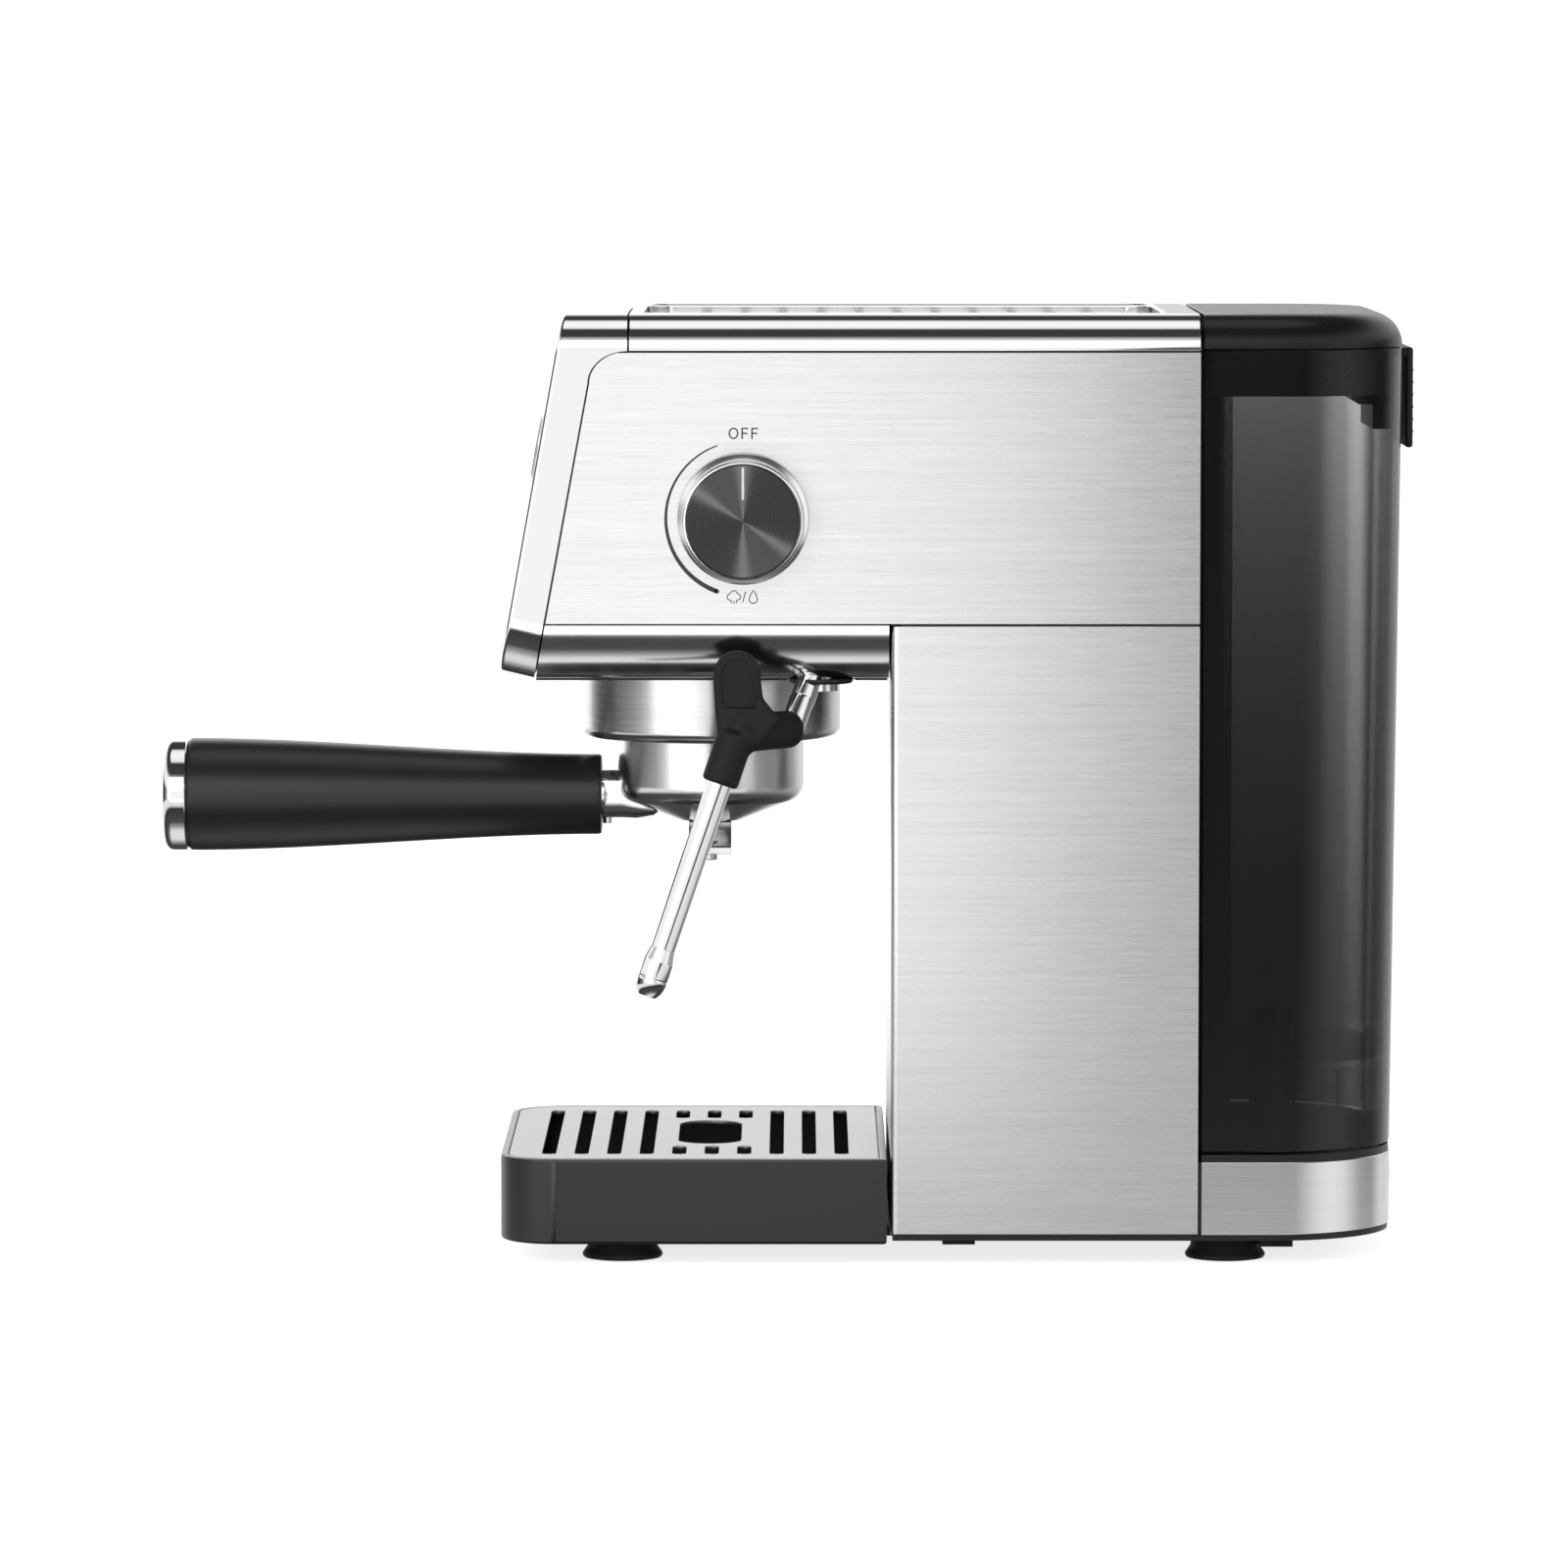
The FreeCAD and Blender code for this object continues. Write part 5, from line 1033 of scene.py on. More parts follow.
# %% Side panels and column front
SHEET = 0.8
TOP_GAP = 0.5
MIDDLE_GAP = 0.45
STEM_HOLE = 4.5
FOLD = 2.2
FOLD_BACK = 3.2
COLUMN_SHEET_HALF = 71.2


def upper_panel(name, side):
    """Upper side panel, cut to the leaning seam; only the right one has a hole for the stem."""
    low_z = SIDE_SEAM + MIDDLE_GAP
    top_z = TOP_SEAM - TOP_GAP
    outline = [(seam_y(z) + SEAM_GAP, z) for z in [low_z] + bend_heights(top_z)]
    outline += [(COLUMN_REAR, top_z), (COLUMN_REAR, low_z)]
    inside, outside = sorted((side * (HALF - SHEET), side * HALF))
    panel = prism(name, outline, "x", inside, outside)
    if side > 0:
        carve(panel, cylinder("hole", STEM_HOLE, 8, (HALF - 4, KNOB_Y, KNOB_Z), (1, 0, 0), 32))
    return soften(panel, 0.15, 2)


def lower_panel():
    """Right lower side panel with its folded front edge."""
    outline = [(HALF, COLUMN_REAR)] + arc(HALF - FOLD, COLUMN_FRONT + FOLD, FOLD, 360, 270, 8)
    outline += [(HALF - FOLD_BACK, COLUMN_FRONT), (HALF - FOLD_BACK, COLUMN_FRONT + SHEET)]
    outline += arc(HALF - FOLD, COLUMN_FRONT + FOLD, FOLD - SHEET, 270, 360, 8) + [(HALF - SHEET, COLUMN_REAR)]
    panel = prism("lower_panel_right", outline, "z", low("lower_side_panel_right", "z"), SIDE_SEAM - 0.3)
    return soften(panel, 0.25, 2, 50.0)


for name, side in (("right", 1), ("left", -1)):
    finish_piece(upper_panel("upper_panel_" + name, side), side_steel, "upper_side_panel_" + name)
right = finish_piece(lower_panel(), side_steel, "lower_side_panel_right")
finish_piece(mirror_x(right, "lower_panel_left"), side_steel, "lower_side_panel_left")

# black liners behind the gaps: painted shade in the seams
LINER_IN = HALF - 1.15
LINER_OUT = HALF - 0.45
LINER_REAR = COLUMN_REAR - 0.3
LINER_FOOT = TOP_SEAM - 1.0
heights = [SIDE_SEAM + (BEND_Z - SIDE_SEAM) * i / 4 for i in range(4)] + bend_heights(TOP_SEAM)
liner = [(seam_y(z) + SEAM_GAP + 0.8, z) for z in heights[:-1]] + [(FASCIA_TOP_REAR + 1.0, LINER_FOOT)]
liner += [(LINER_REAR, LINER_FOOT), (LINER_REAR, TOP_SEAM)] + [(seam_y(z) - 0.6, z) for z in heights[::-1]]
for name, side in (("left", -1), ("right", 1)):
    strips = [prism("liner", liner, "x", side * LINER_IN, side * LINER_OUT),
              box_piece("liner", side * LINER_IN, side * LINER_OUT, COLUMN_FRONT + 3, LINER_REAR, SIDE_SEAM - 0.8,
                        SIDE_SEAM + 0.6)]
    finish_piece(join("seam_liner_" + name, *strips), black_plastic, "upper_side_panel_right",
                 slot="black_plastic", replace=False)

front_sheet = box_piece("column_front_sheet", -COLUMN_SHEET_HALF, COLUMN_SHEET_HALF, COLUMN_FRONT,
                        COLUMN_FRONT + SHEET, low("column_front_panel", "z"), high("column_front_panel", "z"))
finish_piece(soften(front_sheet, 0.25, 2), cross_steel, "column_front_panel")
print("panels built")


# %% [markdown]
# The water tank is a drafted see-through box with large rear corners and a channel in its
# front, where it slides down over the column's spine. The same plan outline, moved in by the
# wall, makes the inside. Stacking outlines gives a wall of even thickness all the way round,
# which a see-through part needs, because the eye reads every skin.

# %% Tank
TANK_FOOT = low("tank_shell", "z")
TANK_TOP = high("tank_shell", "z")
TANK_WALL = 2.5
WATER_FLOOR = 62.5
RIB = 1.0
GRIP_HALF = 30.0
DRAFT = TANK_REAR - BASE_REAR
SPINE_HALF = HALF - 13.0
CHANNEL_HALF = SPINE_HALF + 1.2
CHANNEL_REAR = high("column_rear_wall", "y") + 1.2


def rear_corners(inset, rear, steps=20):
    """Plan points round the two rear corners, from right to left."""
    centre = HALF - REAR_CORNER
    radius = REAR_CORNER - inset
    return (arc(centre, rear - radius, radius, 0, 90, steps) + arc(-centre, rear - radius, radius, 90, 180, steps))


def tank_outline(inset, z):
    """Plan of the tank at a height, moved in by an amount, with the channel in its front."""
    rear = TANK_REAR - DRAFT * (TANK_TOP - z) / (TANK_TOP - TANK_FOOT) - inset
    half = HALF - inset
    front = TANK_FRONT + inset
    side = CHANNEL_HALF + inset
    plan = [(half, front)] + rear_corners(inset, rear) + [(-half, front), (-side, front)]
    plan += [(-side, CHANNEL_REAR + inset), (side, CHANNEL_REAR + inset), (side, front)]
    return [(x, y, z) for x, y in plan]


def wall_x(y):
    """Half width of the room inside the tank's foot."""
    behind = max(y - (BASE_REAR - REAR_CORNER), 0.0)
    return HALF - REAR_CORNER + math.sqrt((REAR_CORNER - TANK_WALL) ** 2 - behind ** 2)


def tank():
    """Smoky shell: skirt, floor and walls in one closed skin."""
    rows = [(TANK_WALL, WATER_FLOOR), (TANK_WALL, TANK_FOOT), (0.6, TANK_FOOT), (0.15, TANK_FOOT + 0.2),
            (0, TANK_FOOT + 0.6), (0, TANK_TOP - 0.5), (0.15, TANK_TOP - 0.15), (0.5, TANK_TOP),
            (TANK_WALL, TANK_TOP), (TANK_WALL, WATER_FLOOR + TANK_WALL)]
    shell = bridge("tank_skin", [tank_outline(inset, z) for inset, z in rows])
    room = GRIP_HALF + 0.2
    saddle = box_piece("saddle", -room, room, TANK_REAR - 6, TANK_REAR + 5, TANK_TOP - 3.4, TANK_TOP + 2)
    valve_y = (low("tank_valve", "y") + high("tank_valve", "y")) / 2
    valve = cylinder("valve_hole", 5, 12, (0, valve_y, WATER_FLOOR - 5), steps=48)
    smooth(carve(shell, saddle, valve), 30.0)
    ribs = [box_piece("rib", side * (wall_x(y + RIB) - 2.2), side * (wall_x(y + RIB) + 0.1), y, y + RIB,
                      TANK_FOOT + 2, WATER_FLOOR)
            for side in (-1, 1) for y in (TANK_FRONT + 26, TANK_FRONT + 29, TANK_REAR - 22)]
    return join("tank_skin", shell, *ribs)


finish_piece(tank(), tank_skin, "tank_shell")
print("tank draft is", round(DRAFT, 2), "mm")


# %% [markdown]
# Inside the top of the tank sits a black collar that stiffens the wall and carries the lid's
# hinge. At the back it steps down in a shelf that leaves room for the fingers behind the grip.

# %% Tank collar and grip
COLLAR_FOOT = TANK_TOP - 14.8


def tank_collar():
    """Black ring inside the tank's mouth with a stepped shelf."""
    w = TANK_WALL + 0.05
    rows = [(w + 3.4, COLLAR_FOOT), (w, COLLAR_FOOT), (w, TANK_TOP - 0.05), (w + 3.4, TANK_TOP - 0.05)]
    ring = bridge("collar_ring", [tank_outline(inset, z) for inset, z in rows], ring=True)
    rear = TANK_REAR - TANK_WALL - 0.6
    profile = [(rear - 13.0, COLLAR_FOOT), (rear - 13.0, COLLAR_FOOT - 2.0), (rear - 10.5, COLLAR_FOOT - 4.0),
               (rear - 6.0, COLLAR_FOOT - 4.0), (rear - 6.0, COLLAR_FOOT - 12.0), (rear - 0.2, COLLAR_FOOT - 12.0),
               (rear - 0.2, COLLAR_FOOT)]
    shelf = prism("collar_shelf", profile, "x", 0.1 - GRIP_HALF, GRIP_HALF - 0.1)
    return soften(join("collar", ring, shelf), 0.4, 2, 40.0)


def tank_grip():
    """Plate behind the tank with a hooked top and fine ribs for the fingers."""
    y0 = TANK_REAR + 1.6
    y1 = high("tank_grip", "y")
    z0 = low("tank_grip", "z")
    z1 = high("tank_grip", "z")
    plate = box_piece("grip_plate", -GRIP_HALF, GRIP_HALF, y0, y1 - 0.6, z0, z1)
    hook = box_piece("grip_hook", 0.2 - GRIP_HALF, GRIP_HALF - 0.2, TANK_REAR - 2.4, y0 + 0.5, z1 - 3.0, z1)
    soften(plate, 0.9, 3)
    ribs = []
    for i in range(6):
        z = z0 + 5.0 + i * 4.0
        profile = [(y1 - 1.0, z - 0.9), (y1, z - 0.3), (y1, z + 0.3), (y1 - 1.0, z + 0.9)]
        ribs.append(prism("rib", profile, "x", -24, 24))
    return join("tank_grip_plate", plate, soften(hook, 0.4, 2), *[soften(rib, 0.2, 2) for rib in ribs])


finish_piece(tank_collar(), black_plastic, "tank_collar")
finish_piece(tank_grip(), black_plastic, "tank_grip")
print("collar and grip built")


# %% [markdown]
# The lid has a flat top with a soft roll along its sides and rear, and a square front that
# meets the top cover. The roll is a quarter circle of loops; a front edge kept out of the
# roll stays crisp, so the seam to the steel reads as one thin line.

# %% Tank lid
LID_FOOT = low("tank_lid", "z")
LID_TOP = high("tank_lid", "z")
LID_ROUND = LID_TOP - LID_FOOT - 0.4


def lid_outline(inset, z, front_inset=0.0):
    """Plan of the lid; its sides and rear move in apart from its front."""
    half = HALF - inset
    front = TANK_FRONT + front_inset
    plan = [(half, front)] + rear_corners(inset, TANK_REAR - inset) + [(-half, front)]
    return [(x, y, z) for x, y in plan]


def tank_lid():
    """Rounded lid with a hollow underside."""
    rows = [lid_outline(7.0, LID_TOP - 2.6, 2.5), lid_outline(7.0, LID_FOOT, 2.5), lid_outline(0.3, LID_FOOT),
            lid_outline(0, LID_FOOT + 0.3)]
    for i in range(9):
        a = math.radians(90 * i / 8)
        rows.append(lid_outline(LID_ROUND * (1 - math.cos(a)), LID_TOP - LID_ROUND * (1 - math.sin(a)),
                                0.35 * (i == 8)))
    return smooth(bridge("tank_lid_shell", rows), 32.0)


finish_piece(tank_lid(), lid_plastic, "tank_lid")
print("lid roll is", round(LID_ROUND, 1), "mm")


# %% [markdown]
# Round the foot of the tank runs a brushed steel band, and above it the black dock shows as a
# thin lip. The dock's socket and wall stay hidden, so its frame node keeps its shape and only
# the lip needs a fine edge.

# %% Base band
BAND_FOOT = low("base_band", "z")
BAND_TOP = high("base_band", "z")


def band_outline(inset, z):
    """Plan of the band from its front right end round to its front left end."""
    half = HALF - inset
    plan = [(half, TANK_FRONT)] + rear_corners(inset, BASE_REAR - inset, 24) + [(-half, TANK_FRONT)]
    return [(x, y, z) for x, y in plan]


def base_band():
    """Thin steel strip, rolled at its upper and lower edges."""
    rows = [(SHEET, BAND_FOOT), (0.2, BAND_FOOT), (0, BAND_FOOT + 0.2), (0, BAND_TOP - 0.2), (0.2, BAND_TOP),
            (SHEET, BAND_TOP)]
    bm = bmesh.new()
    lines = [[bm.verts.new(p) for p in band_outline(inset, z)] for inset, z in rows]
    for a, b in zip(lines, lines[1:] + lines[:1]):
        for i in range(len(a) - 1):
            bm.faces.new((a[i], a[i + 1], b[i + 1], b[i]))
    bm.faces.new([line[0] for line in lines])
    bm.faces.new([line[-1] for line in lines][::-1])
    band = make_object("base_band_strip", bm)
    gland = cylinder("gland_hole", 7.1, 12, (0, BASE_REAR - 6, BAND_FOOT + 11.9), (0, 1, 0), 48)
    return smooth(carve(band, gland), SOFT_ANGLE)


finish_piece(base_band(), band_steel, "base_band")
print("band is", round(BAND_TOP - BAND_FOOT, 1), "mm high")


# %% [markdown]
# The cord gland is a stepped collar with a soft edge round its empty bore.

# %% Cord gland
GLAND_Z = (low("cord_gland", "z") + high("cord_gland", "z")) / 2
GLAND_REAR = high("cord_gland", "y")
gland_profile = [(3.6, -16), (7, -16), (7, -2), (8.6, -2), (9, -1.6), (9, -0.5)] + arc(8.5, -0.5, 0.5, 0, 90, 4)
gland_profile += [(5.2, 0), (4.6, -0.5), (3.6, -1.2), (3.6, -16)]
finish_piece(smooth(lathe("cord_gland_collar", gland_profile, (0, GLAND_REAR, GLAND_Z), (0, 1, 0), 64), SOFT_ANGLE),
             black_plastic, "cord_gland")
print("gland at z", round(GLAND_Z, 1))


# %% [markdown]
# The drip tray is a deep black moulding with a satin skin. Its plan has large front corners,
# its upper rim is turned over so that it catches light, and the grill lies in a shallow step
# inside that rim. Stacked plan outlines give all of it, from the inside floor round the rim
# to the foot.

# %% Drip tray
TRAY_FOOT = low("drip_tray", "z")
TRAY_TOP = high("drip_tray", "z")
TRAY_FRONT = low("drip_tray", "y")
TRAY_REAR = high("drip_tray", "y")
TRAY_CORNER = 18.0
GRILL_FOOT = low("drip_grill", "z")
RIM = 2.3
STEP = 5.5
TRAY_WALL = 2.5
TRAY_UNDERSIDE = 13.0


def tray_outline(inset, z):
    """Plan of the tray, moved in by an amount."""
    half = HALF - inset
    r = TRAY_CORNER - inset
    y = TRAY_FRONT + inset + r
    back = TRAY_REAR - inset
    plan = arc(r - half, y, r, 180, 270, 14) + arc(half - r, y, r, 270, 360, 14)
    return [(x, y, z) for x, y in plan + [(half, back), (-half, back)]]


def tray_stack(name, rows):
    """Stack plan outlines given as (inset, height)."""
    return bridge(name, [tray_outline(inset, z) for inset, z in rows])


def drip_tray():
    """Tray with a rolled rim, a step for the grill and a raised floor."""
    rows = [(TRAY_WALL, TRAY_UNDERSIDE), (TRAY_WALL, TRAY_FOOT), (1.0, TRAY_FOOT), (0.3, TRAY_FOOT + 0.3),
            (0, TRAY_FOOT + 1.0), (0, TRAY_TOP - 0.8), (0.25, TRAY_TOP - 0.25), (0.8, TRAY_TOP),
            (RIM - 0.3, TRAY_TOP), (RIM, TRAY_TOP - 0.3), (RIM, GRILL_FOOT), (STEP, GRILL_FOOT),
            (STEP, TRAY_UNDERSIDE + TRAY_WALL)]
    tray = tray_stack("drip_tray_shell", rows)
    room = HALF - TRAY_WALL
    passage = box_piece("passage", -room, room, TRAY_REAR - 8, TRAY_REAR + 5, TRAY_FOOT - 2, TRAY_UNDERSIDE)
    return smooth(carve(tray, passage), 32.0)


finish_piece(drip_tray(), tray_plastic, "drip_tray")
print("tray is", round(TRAY_TOP - TRAY_FOOT, 1), "mm deep")


# %% [markdown]
# The grill is one pressed steel plate. Round-ended slots run across it, the ones beside the
# mouth are shorter, and the mouth under the spouts is a long rounded hole. Pressing leaves a
# small roll on every slot, made by a bevel after a single Boolean.

# %% Drip grill
GRILL_TOP = high("drip_grill", "z")
GRILL_PITCH = 10.5
GRILL_ROWS = 10
GRILL_SHIFT = -4.35
SLOT_HALF = 2.25
SLOT_END = HALF - 15.0
MOUTH_HALF = 32.0
MOUTH_RADIUS = 10.25
MOUTH_MARGIN = 6.5


def drip_grill():
    """Slotted plate with a mouth."""
    plate = tray_stack("drip_grill_plate", [(RIM + 0.3, GRILL_FOOT), (RIM + 0.3, GRILL_TOP)])
    z0 = GRILL_FOOT - 3
    z1 = GRILL_TOP + 3
    rows = [GRILL_SHIFT + (i - (GRILL_ROWS - 1) / 2) * GRILL_PITCH for i in range(GRILL_ROWS)]
    beside = [y for y in rows if abs(y) <= MOUTH_RADIUS + SLOT_HALF + 1]
    clear = [y for y in rows if y not in beside]
    carve(plate, many("long_slots", capsule(SLOT_END, SLOT_HALF), [(0, y) for y in clear], z0, z1))
    inner = MOUTH_HALF + MOUTH_MARGIN
    middle = (inner + SLOT_END) / 2
    short = capsule((SLOT_END - inner) / 2, SLOT_HALF)
    carve(plate, many("short_slots", short, [(side * middle, y) for side in (-1, 1) for y in beside], z0, z1))
    carve(plate, many("mouth", capsule(MOUTH_HALF, MOUTH_RADIUS, 16), [(0, 0)], z0, z1))
    return soften(plate, 0.3, 2)


finish_piece(drip_grill(), grill_steel_painted_shade, "drip_grill")
print("grill has", GRILL_ROWS, "rows of slots")


# %% [markdown]
# The feet are suction cups: a bell of soft rubber that flares to a thin lip on the counter,
# under a short stem. Their flared shape is turned, and small pads between them only rest.

# %% Feet
feet = []
FOOT_TOP = high("suction_feet", "z")
foot_x = HALF - 23.0
foot_rows = (low("suction_feet", "y") + 13.0, high("suction_feet", "y") - 13.0)
foot_profile = [(0, 0.8), (9.0, 0.6), (11.4, 0), (12.5, 0.2), (13.0, 0.9), (12.9, 1.5), (12.3, 2.4), (11.3, 3.8),
                (10.6, FOOT_TOP - 0.5), (10.3, FOOT_TOP - 0.05), (0, FOOT_TOP - 0.05)]
for x in (-foot_x, foot_x):
    for y in foot_rows:
        feet.append(lathe("foot", foot_profile, (x, y, 0), steps=64))
finish_piece(smooth(join("suction_feet_rubber", *feet), SOFT_ANGLE), rubber, "suction_feet")
print("feet at x", round(foot_x, 1), "y", [round(y, 1) for y in foot_rows])


# %% [markdown]
# The group is a brushed steel collar under the head. Its lower edge rolls inwards, and the
# casting inside it keeps its frame node. Turned parts like this come from one profile, written
# as radius and height, with arcs where a tool or a press would leave them.

# %% Group collar
COLLAR_RADIUS = high("group_collar", "x")
COLLAR_FOOT = low("group_collar", "z")
GROUP_RADIUS = 37.5


def curve(start, control, end, steps=8):
    """A smooth bend between two profile points, pulled towards a third."""
    shares = [i / steps for i in range(steps + 1)]
    return [tuple((1 - t) ** 2 * a + 2 * t * (1 - t) * b + t * t * c for a, b, c in zip(start, control, end))
            for t in shares]


COLLAR_BORE = GROUP_RADIUS + 0.05
COLLAR_ROLL = 3.2
collar_profile = [(COLLAR_BORE, HEAD_FOOT), (COLLAR_BORE, COLLAR_FOOT)]
collar_profile += arc(COLLAR_RADIUS - COLLAR_ROLL, COLLAR_FOOT + COLLAR_ROLL, COLLAR_ROLL, 270, 360, 10)
collar_profile += [(COLLAR_RADIUS, HEAD_FOOT - 0.05), (COLLAR_BORE, HEAD_FOOT - 0.05)]
finish_piece(smooth(lathe("group_collar_ring", collar_profile, steps=128), SOFT_ANGLE), ring_steel, "group_collar")
print("collar is", round(2 * COLLAR_RADIUS, 1), "mm across")


# %% [markdown]
# The portafilter is chromed brass: a straight-walled bowl whose foot turns in as a shallow
# cone, a short arm that grows out of the bowl, and two lugs that lock in the group. The bowl
# is turned. The arm is a row of rounded loops that shrink as they sink into the bowl, as the
# casting does, and a small pin under it holds the handle's bolt.

# %% Portafilter bowl and arm
BOWL_RADIUS = 30.6
BOWL_TOP = high("portafilter_bowl", "z")
BOWL_FOOT = low("portafilter_bowl", "z")
SHOULDER = BOWL_FOOT + 9.5
BOWL_BORE = 27.8
LUG_SPREAD = 36.0
ARM_FRONT = low("portafilter_bowl", "y")
ARM_LOOPS = [(ARM_FRONT, -0.7, 8.0, 7.0), (-29.0, -0.7, 8.0, 7.4), (-24.0, -2.6, 6.3, 8.0), (-18.5, -4.5, 3.4, 7.5),
             (-16.5, -4.2, 2.2, 6.5)]


def lug(middle):
    """A lug of the bayonet: part of a ring, about an angle."""
    start, end = middle - LUG_SPREAD / 2, middle + LUG_SPREAD / 2
    outline = arc(0, 0, 34.3, start, end, 12) + arc(0, 0, 29.5, end, start, 12)
    return soften(prism("lug", outline, "z", BOWL_TOP - 5.3, BOWL_TOP - 1.8), 0.5, 3)


def arm_loop(y, middle, rise, half):
    """A rounded loop of the arm: a circle drawn out to a soft rectangle."""
    turns = [2 * math.pi * i / 48 for i in range(48)]
    return [(abs(math.cos(a)) ** 0.8 * math.copysign(half, math.cos(a)), y,
             middle + abs(math.sin(a)) ** 0.6 * math.copysign(rise, math.sin(a))) for a in turns]


def bowl():
    """Chromed bowl with its arm and lugs."""
    outside = [(4.0, BOWL_FOOT), (8.6, BOWL_FOOT)]
    outside += curve((8.8, BOWL_FOOT), (10.0, BOWL_FOOT), (12.0, BOWL_FOOT + 0.9), 6)
    outside += curve((26.8, SHOULDER - 2.9), (BOWL_RADIUS, SHOULDER - 1.4), (BOWL_RADIUS, SHOULDER + 3.2), 12)
    outside += [(BOWL_RADIUS, BOWL_TOP - 0.5), (BOWL_RADIUS - 0.4, BOWL_TOP), (27.9, BOWL_TOP),
                (BOWL_BORE, BOWL_TOP - 0.3)]
    inside = [(BOWL_BORE, SHOULDER + 2.8), (25.0, SHOULDER), (4.0, SHOULDER - 2.8), (4.0, BOWL_FOOT)]
    cup = smooth(lathe("bowl_cup", outside + inside, steps=128), SOFT_ANGLE)
    arm = bridge("bowl_arm", [arm_loop(y, SHOULDER + lift, rise, half) for y, lift, rise, half in ARM_LOOPS])
    pin = lathe("arm_pin", [(0, 0), (1.3, 0), (1.5, 0.2), (1.5, 4), (0, 4)], (0, ARM_FRONT + 1.7, SHOULDER - 10.6),
                steps=32)
    arm = join("bowl_arm", smooth(arm), smooth(pin))
    ring = [(0, 0), (8.0, 0)] + arc(7.4, 0.6, 0.6, 0, 90, 4) + [(7.0, 2.2), (0, 2.2)]
    knuckle = lathe("arm_ring", ring, (0, ARM_FRONT, SHOULDER - 1.0), (0, 1, 0), 64)
    return join("portafilter_casting", cup, arm, smooth(knuckle), lug(0), lug(180))


finish_piece(bowl(), bowl_chrome, "portafilter_bowl")
print("bowl is", 2 * BOWL_RADIUS, "mm across")


# %% [markdown]
# The twin spout is a small block that parts into two outlets, so it looks like an upturned Y
# from the front and like a plain narrow block from the side. Its outline is written for one
# side and mirrored. Soft edges of a millimetre make it look cast and not cut.

# %% Spout and its screw
SPOUT_FOOT = low("spout", "z")
SPOUT_HALF = high("spout", "x")
SPOUT_DEPTH = high("spout", "y")
OUTLET_Z = SPOUT_FOOT + 1.9


def spout():
    """Block that parts into two outlets."""
    right = [(9.0, BOWL_FOOT)]
    right += curve((10.0, BOWL_FOOT - 2.0), (14.5, SPOUT_FOOT + 6.0), (SPOUT_HALF - 0.5, SPOUT_FOOT + 4.6), 6)
    right += [(SPOUT_HALF, SPOUT_FOOT + 4.0), (SPOUT_HALF, OUTLET_Z), (SPOUT_HALF - 7.5, OUTLET_Z)]
    right += curve((SPOUT_HALF - 7.5, SPOUT_FOOT + 2.2), (9.0, SPOUT_FOOT + 5.0), (5.0, SPOUT_FOOT + 0.7), 6)
    outline = right + [(-x, z) for x, z in reversed(right)]
    block = soften(prism("spout_block", outline, "y", -SPOUT_DEPTH, SPOUT_DEPTH), 1.1, 4, 30.0)
    for side in (-1, 1):
        carve(block, cylinder("outlet", 2.6, 8, (side * 16.0, 0, SPOUT_FOOT - 2), steps=32))
    return smooth(block, 35.0)


finish_piece(spout(), bowl_chrome, "spout")
screw_low = low("spout_screw", "z")
screw_profile = [(0, 4.6), (2.3, 4.6), (2.3, 0.3), (2.05, 0), (0.9, 0), (0.9, 0.8), (0, 0.8)]
screw = lathe("spout_screw_head", screw_profile, (0, 0, screw_low), steps=32)
finish_piece(smooth(screw), plain_steel, "spout_screw")
print("spout is", round(2 * SPOUT_HALF, 1), "mm wide")


# %% [markdown]
# The handle swells towards its end, where a chrome cap closes it. Sleeve and cap are turned
# from smooth profiles; a fine groove between them keeps a dark line, and the cap's corner has a
# radius of about three millimetres, which bends the reflections into a bright rim.

# %% Handle
HANDLE_Z = (low("handle_cap", "z") + high("handle_cap", "z")) / 2
SLEEVE_FRONT = -low("handle_sleeve", "y")
SLEEVE_BACK = -high("handle_sleeve", "y")
CAP_FRONT = -low("handle_cap", "y")
THICK = high("handle_cap", "x")
THIN = 13.15
BOLT_BORE = 4.0
CAP_ROLL = 3.1


def swell(share):
    """Radius along the handle, from 0 at the bowl to 1 at the cap."""
    return THIN + (THICK - THIN) * (3 * share ** 2 - 2 * share ** 3)


length = SLEEVE_FRONT - SLEEVE_BACK
sleeve_profile = [(BOLT_BORE, SLEEVE_BACK), (THIN - 1.2, SLEEVE_BACK), (THIN - 0.35, SLEEVE_BACK + 0.25),
                  (THIN, SLEEVE_BACK + 1.0)]
sleeve_profile += [(swell(i / 32), SLEEVE_BACK + length * i / 32) for i in range(1, 32)]
sleeve_profile += [(THICK - 0.05, SLEEVE_FRONT - 1.0), (THICK - 0.35, SLEEVE_FRONT - 0.4),
                   (THICK - 0.9, SLEEVE_FRONT), (BOLT_BORE, SLEEVE_FRONT), (BOLT_BORE, SLEEVE_BACK)]
sleeve = lathe("handle_sleeve_moulding", sleeve_profile, (0, 0, HANDLE_Z), (0, -1, 0), 96)
finish_piece(smooth(sleeve, 35.0), handle_plastic, "handle_sleeve")
cap_profile = [(0, SLEEVE_FRONT + 0.05), (THICK - 0.9, SLEEVE_FRONT + 0.05), (THICK - 0.3, SLEEVE_FRONT + 0.35),
               (THICK, SLEEVE_FRONT + 0.8)]
cap_profile += arc(THICK - CAP_ROLL, CAP_FRONT - 3.5, CAP_ROLL, 0, 84, 10)
cap_profile += [(9.0, CAP_FRONT - 0.1), (0, CAP_FRONT)]
cap = lathe("handle_cap_chrome", cap_profile, (0, 0, HANDLE_Z), (0, -1, 0), 96)
finish_piece(smooth(cap, 30.0), chrome, "handle_cap")
print("handle is", round(CAP_FRONT - SLEEVE_BACK, 1), "mm long")


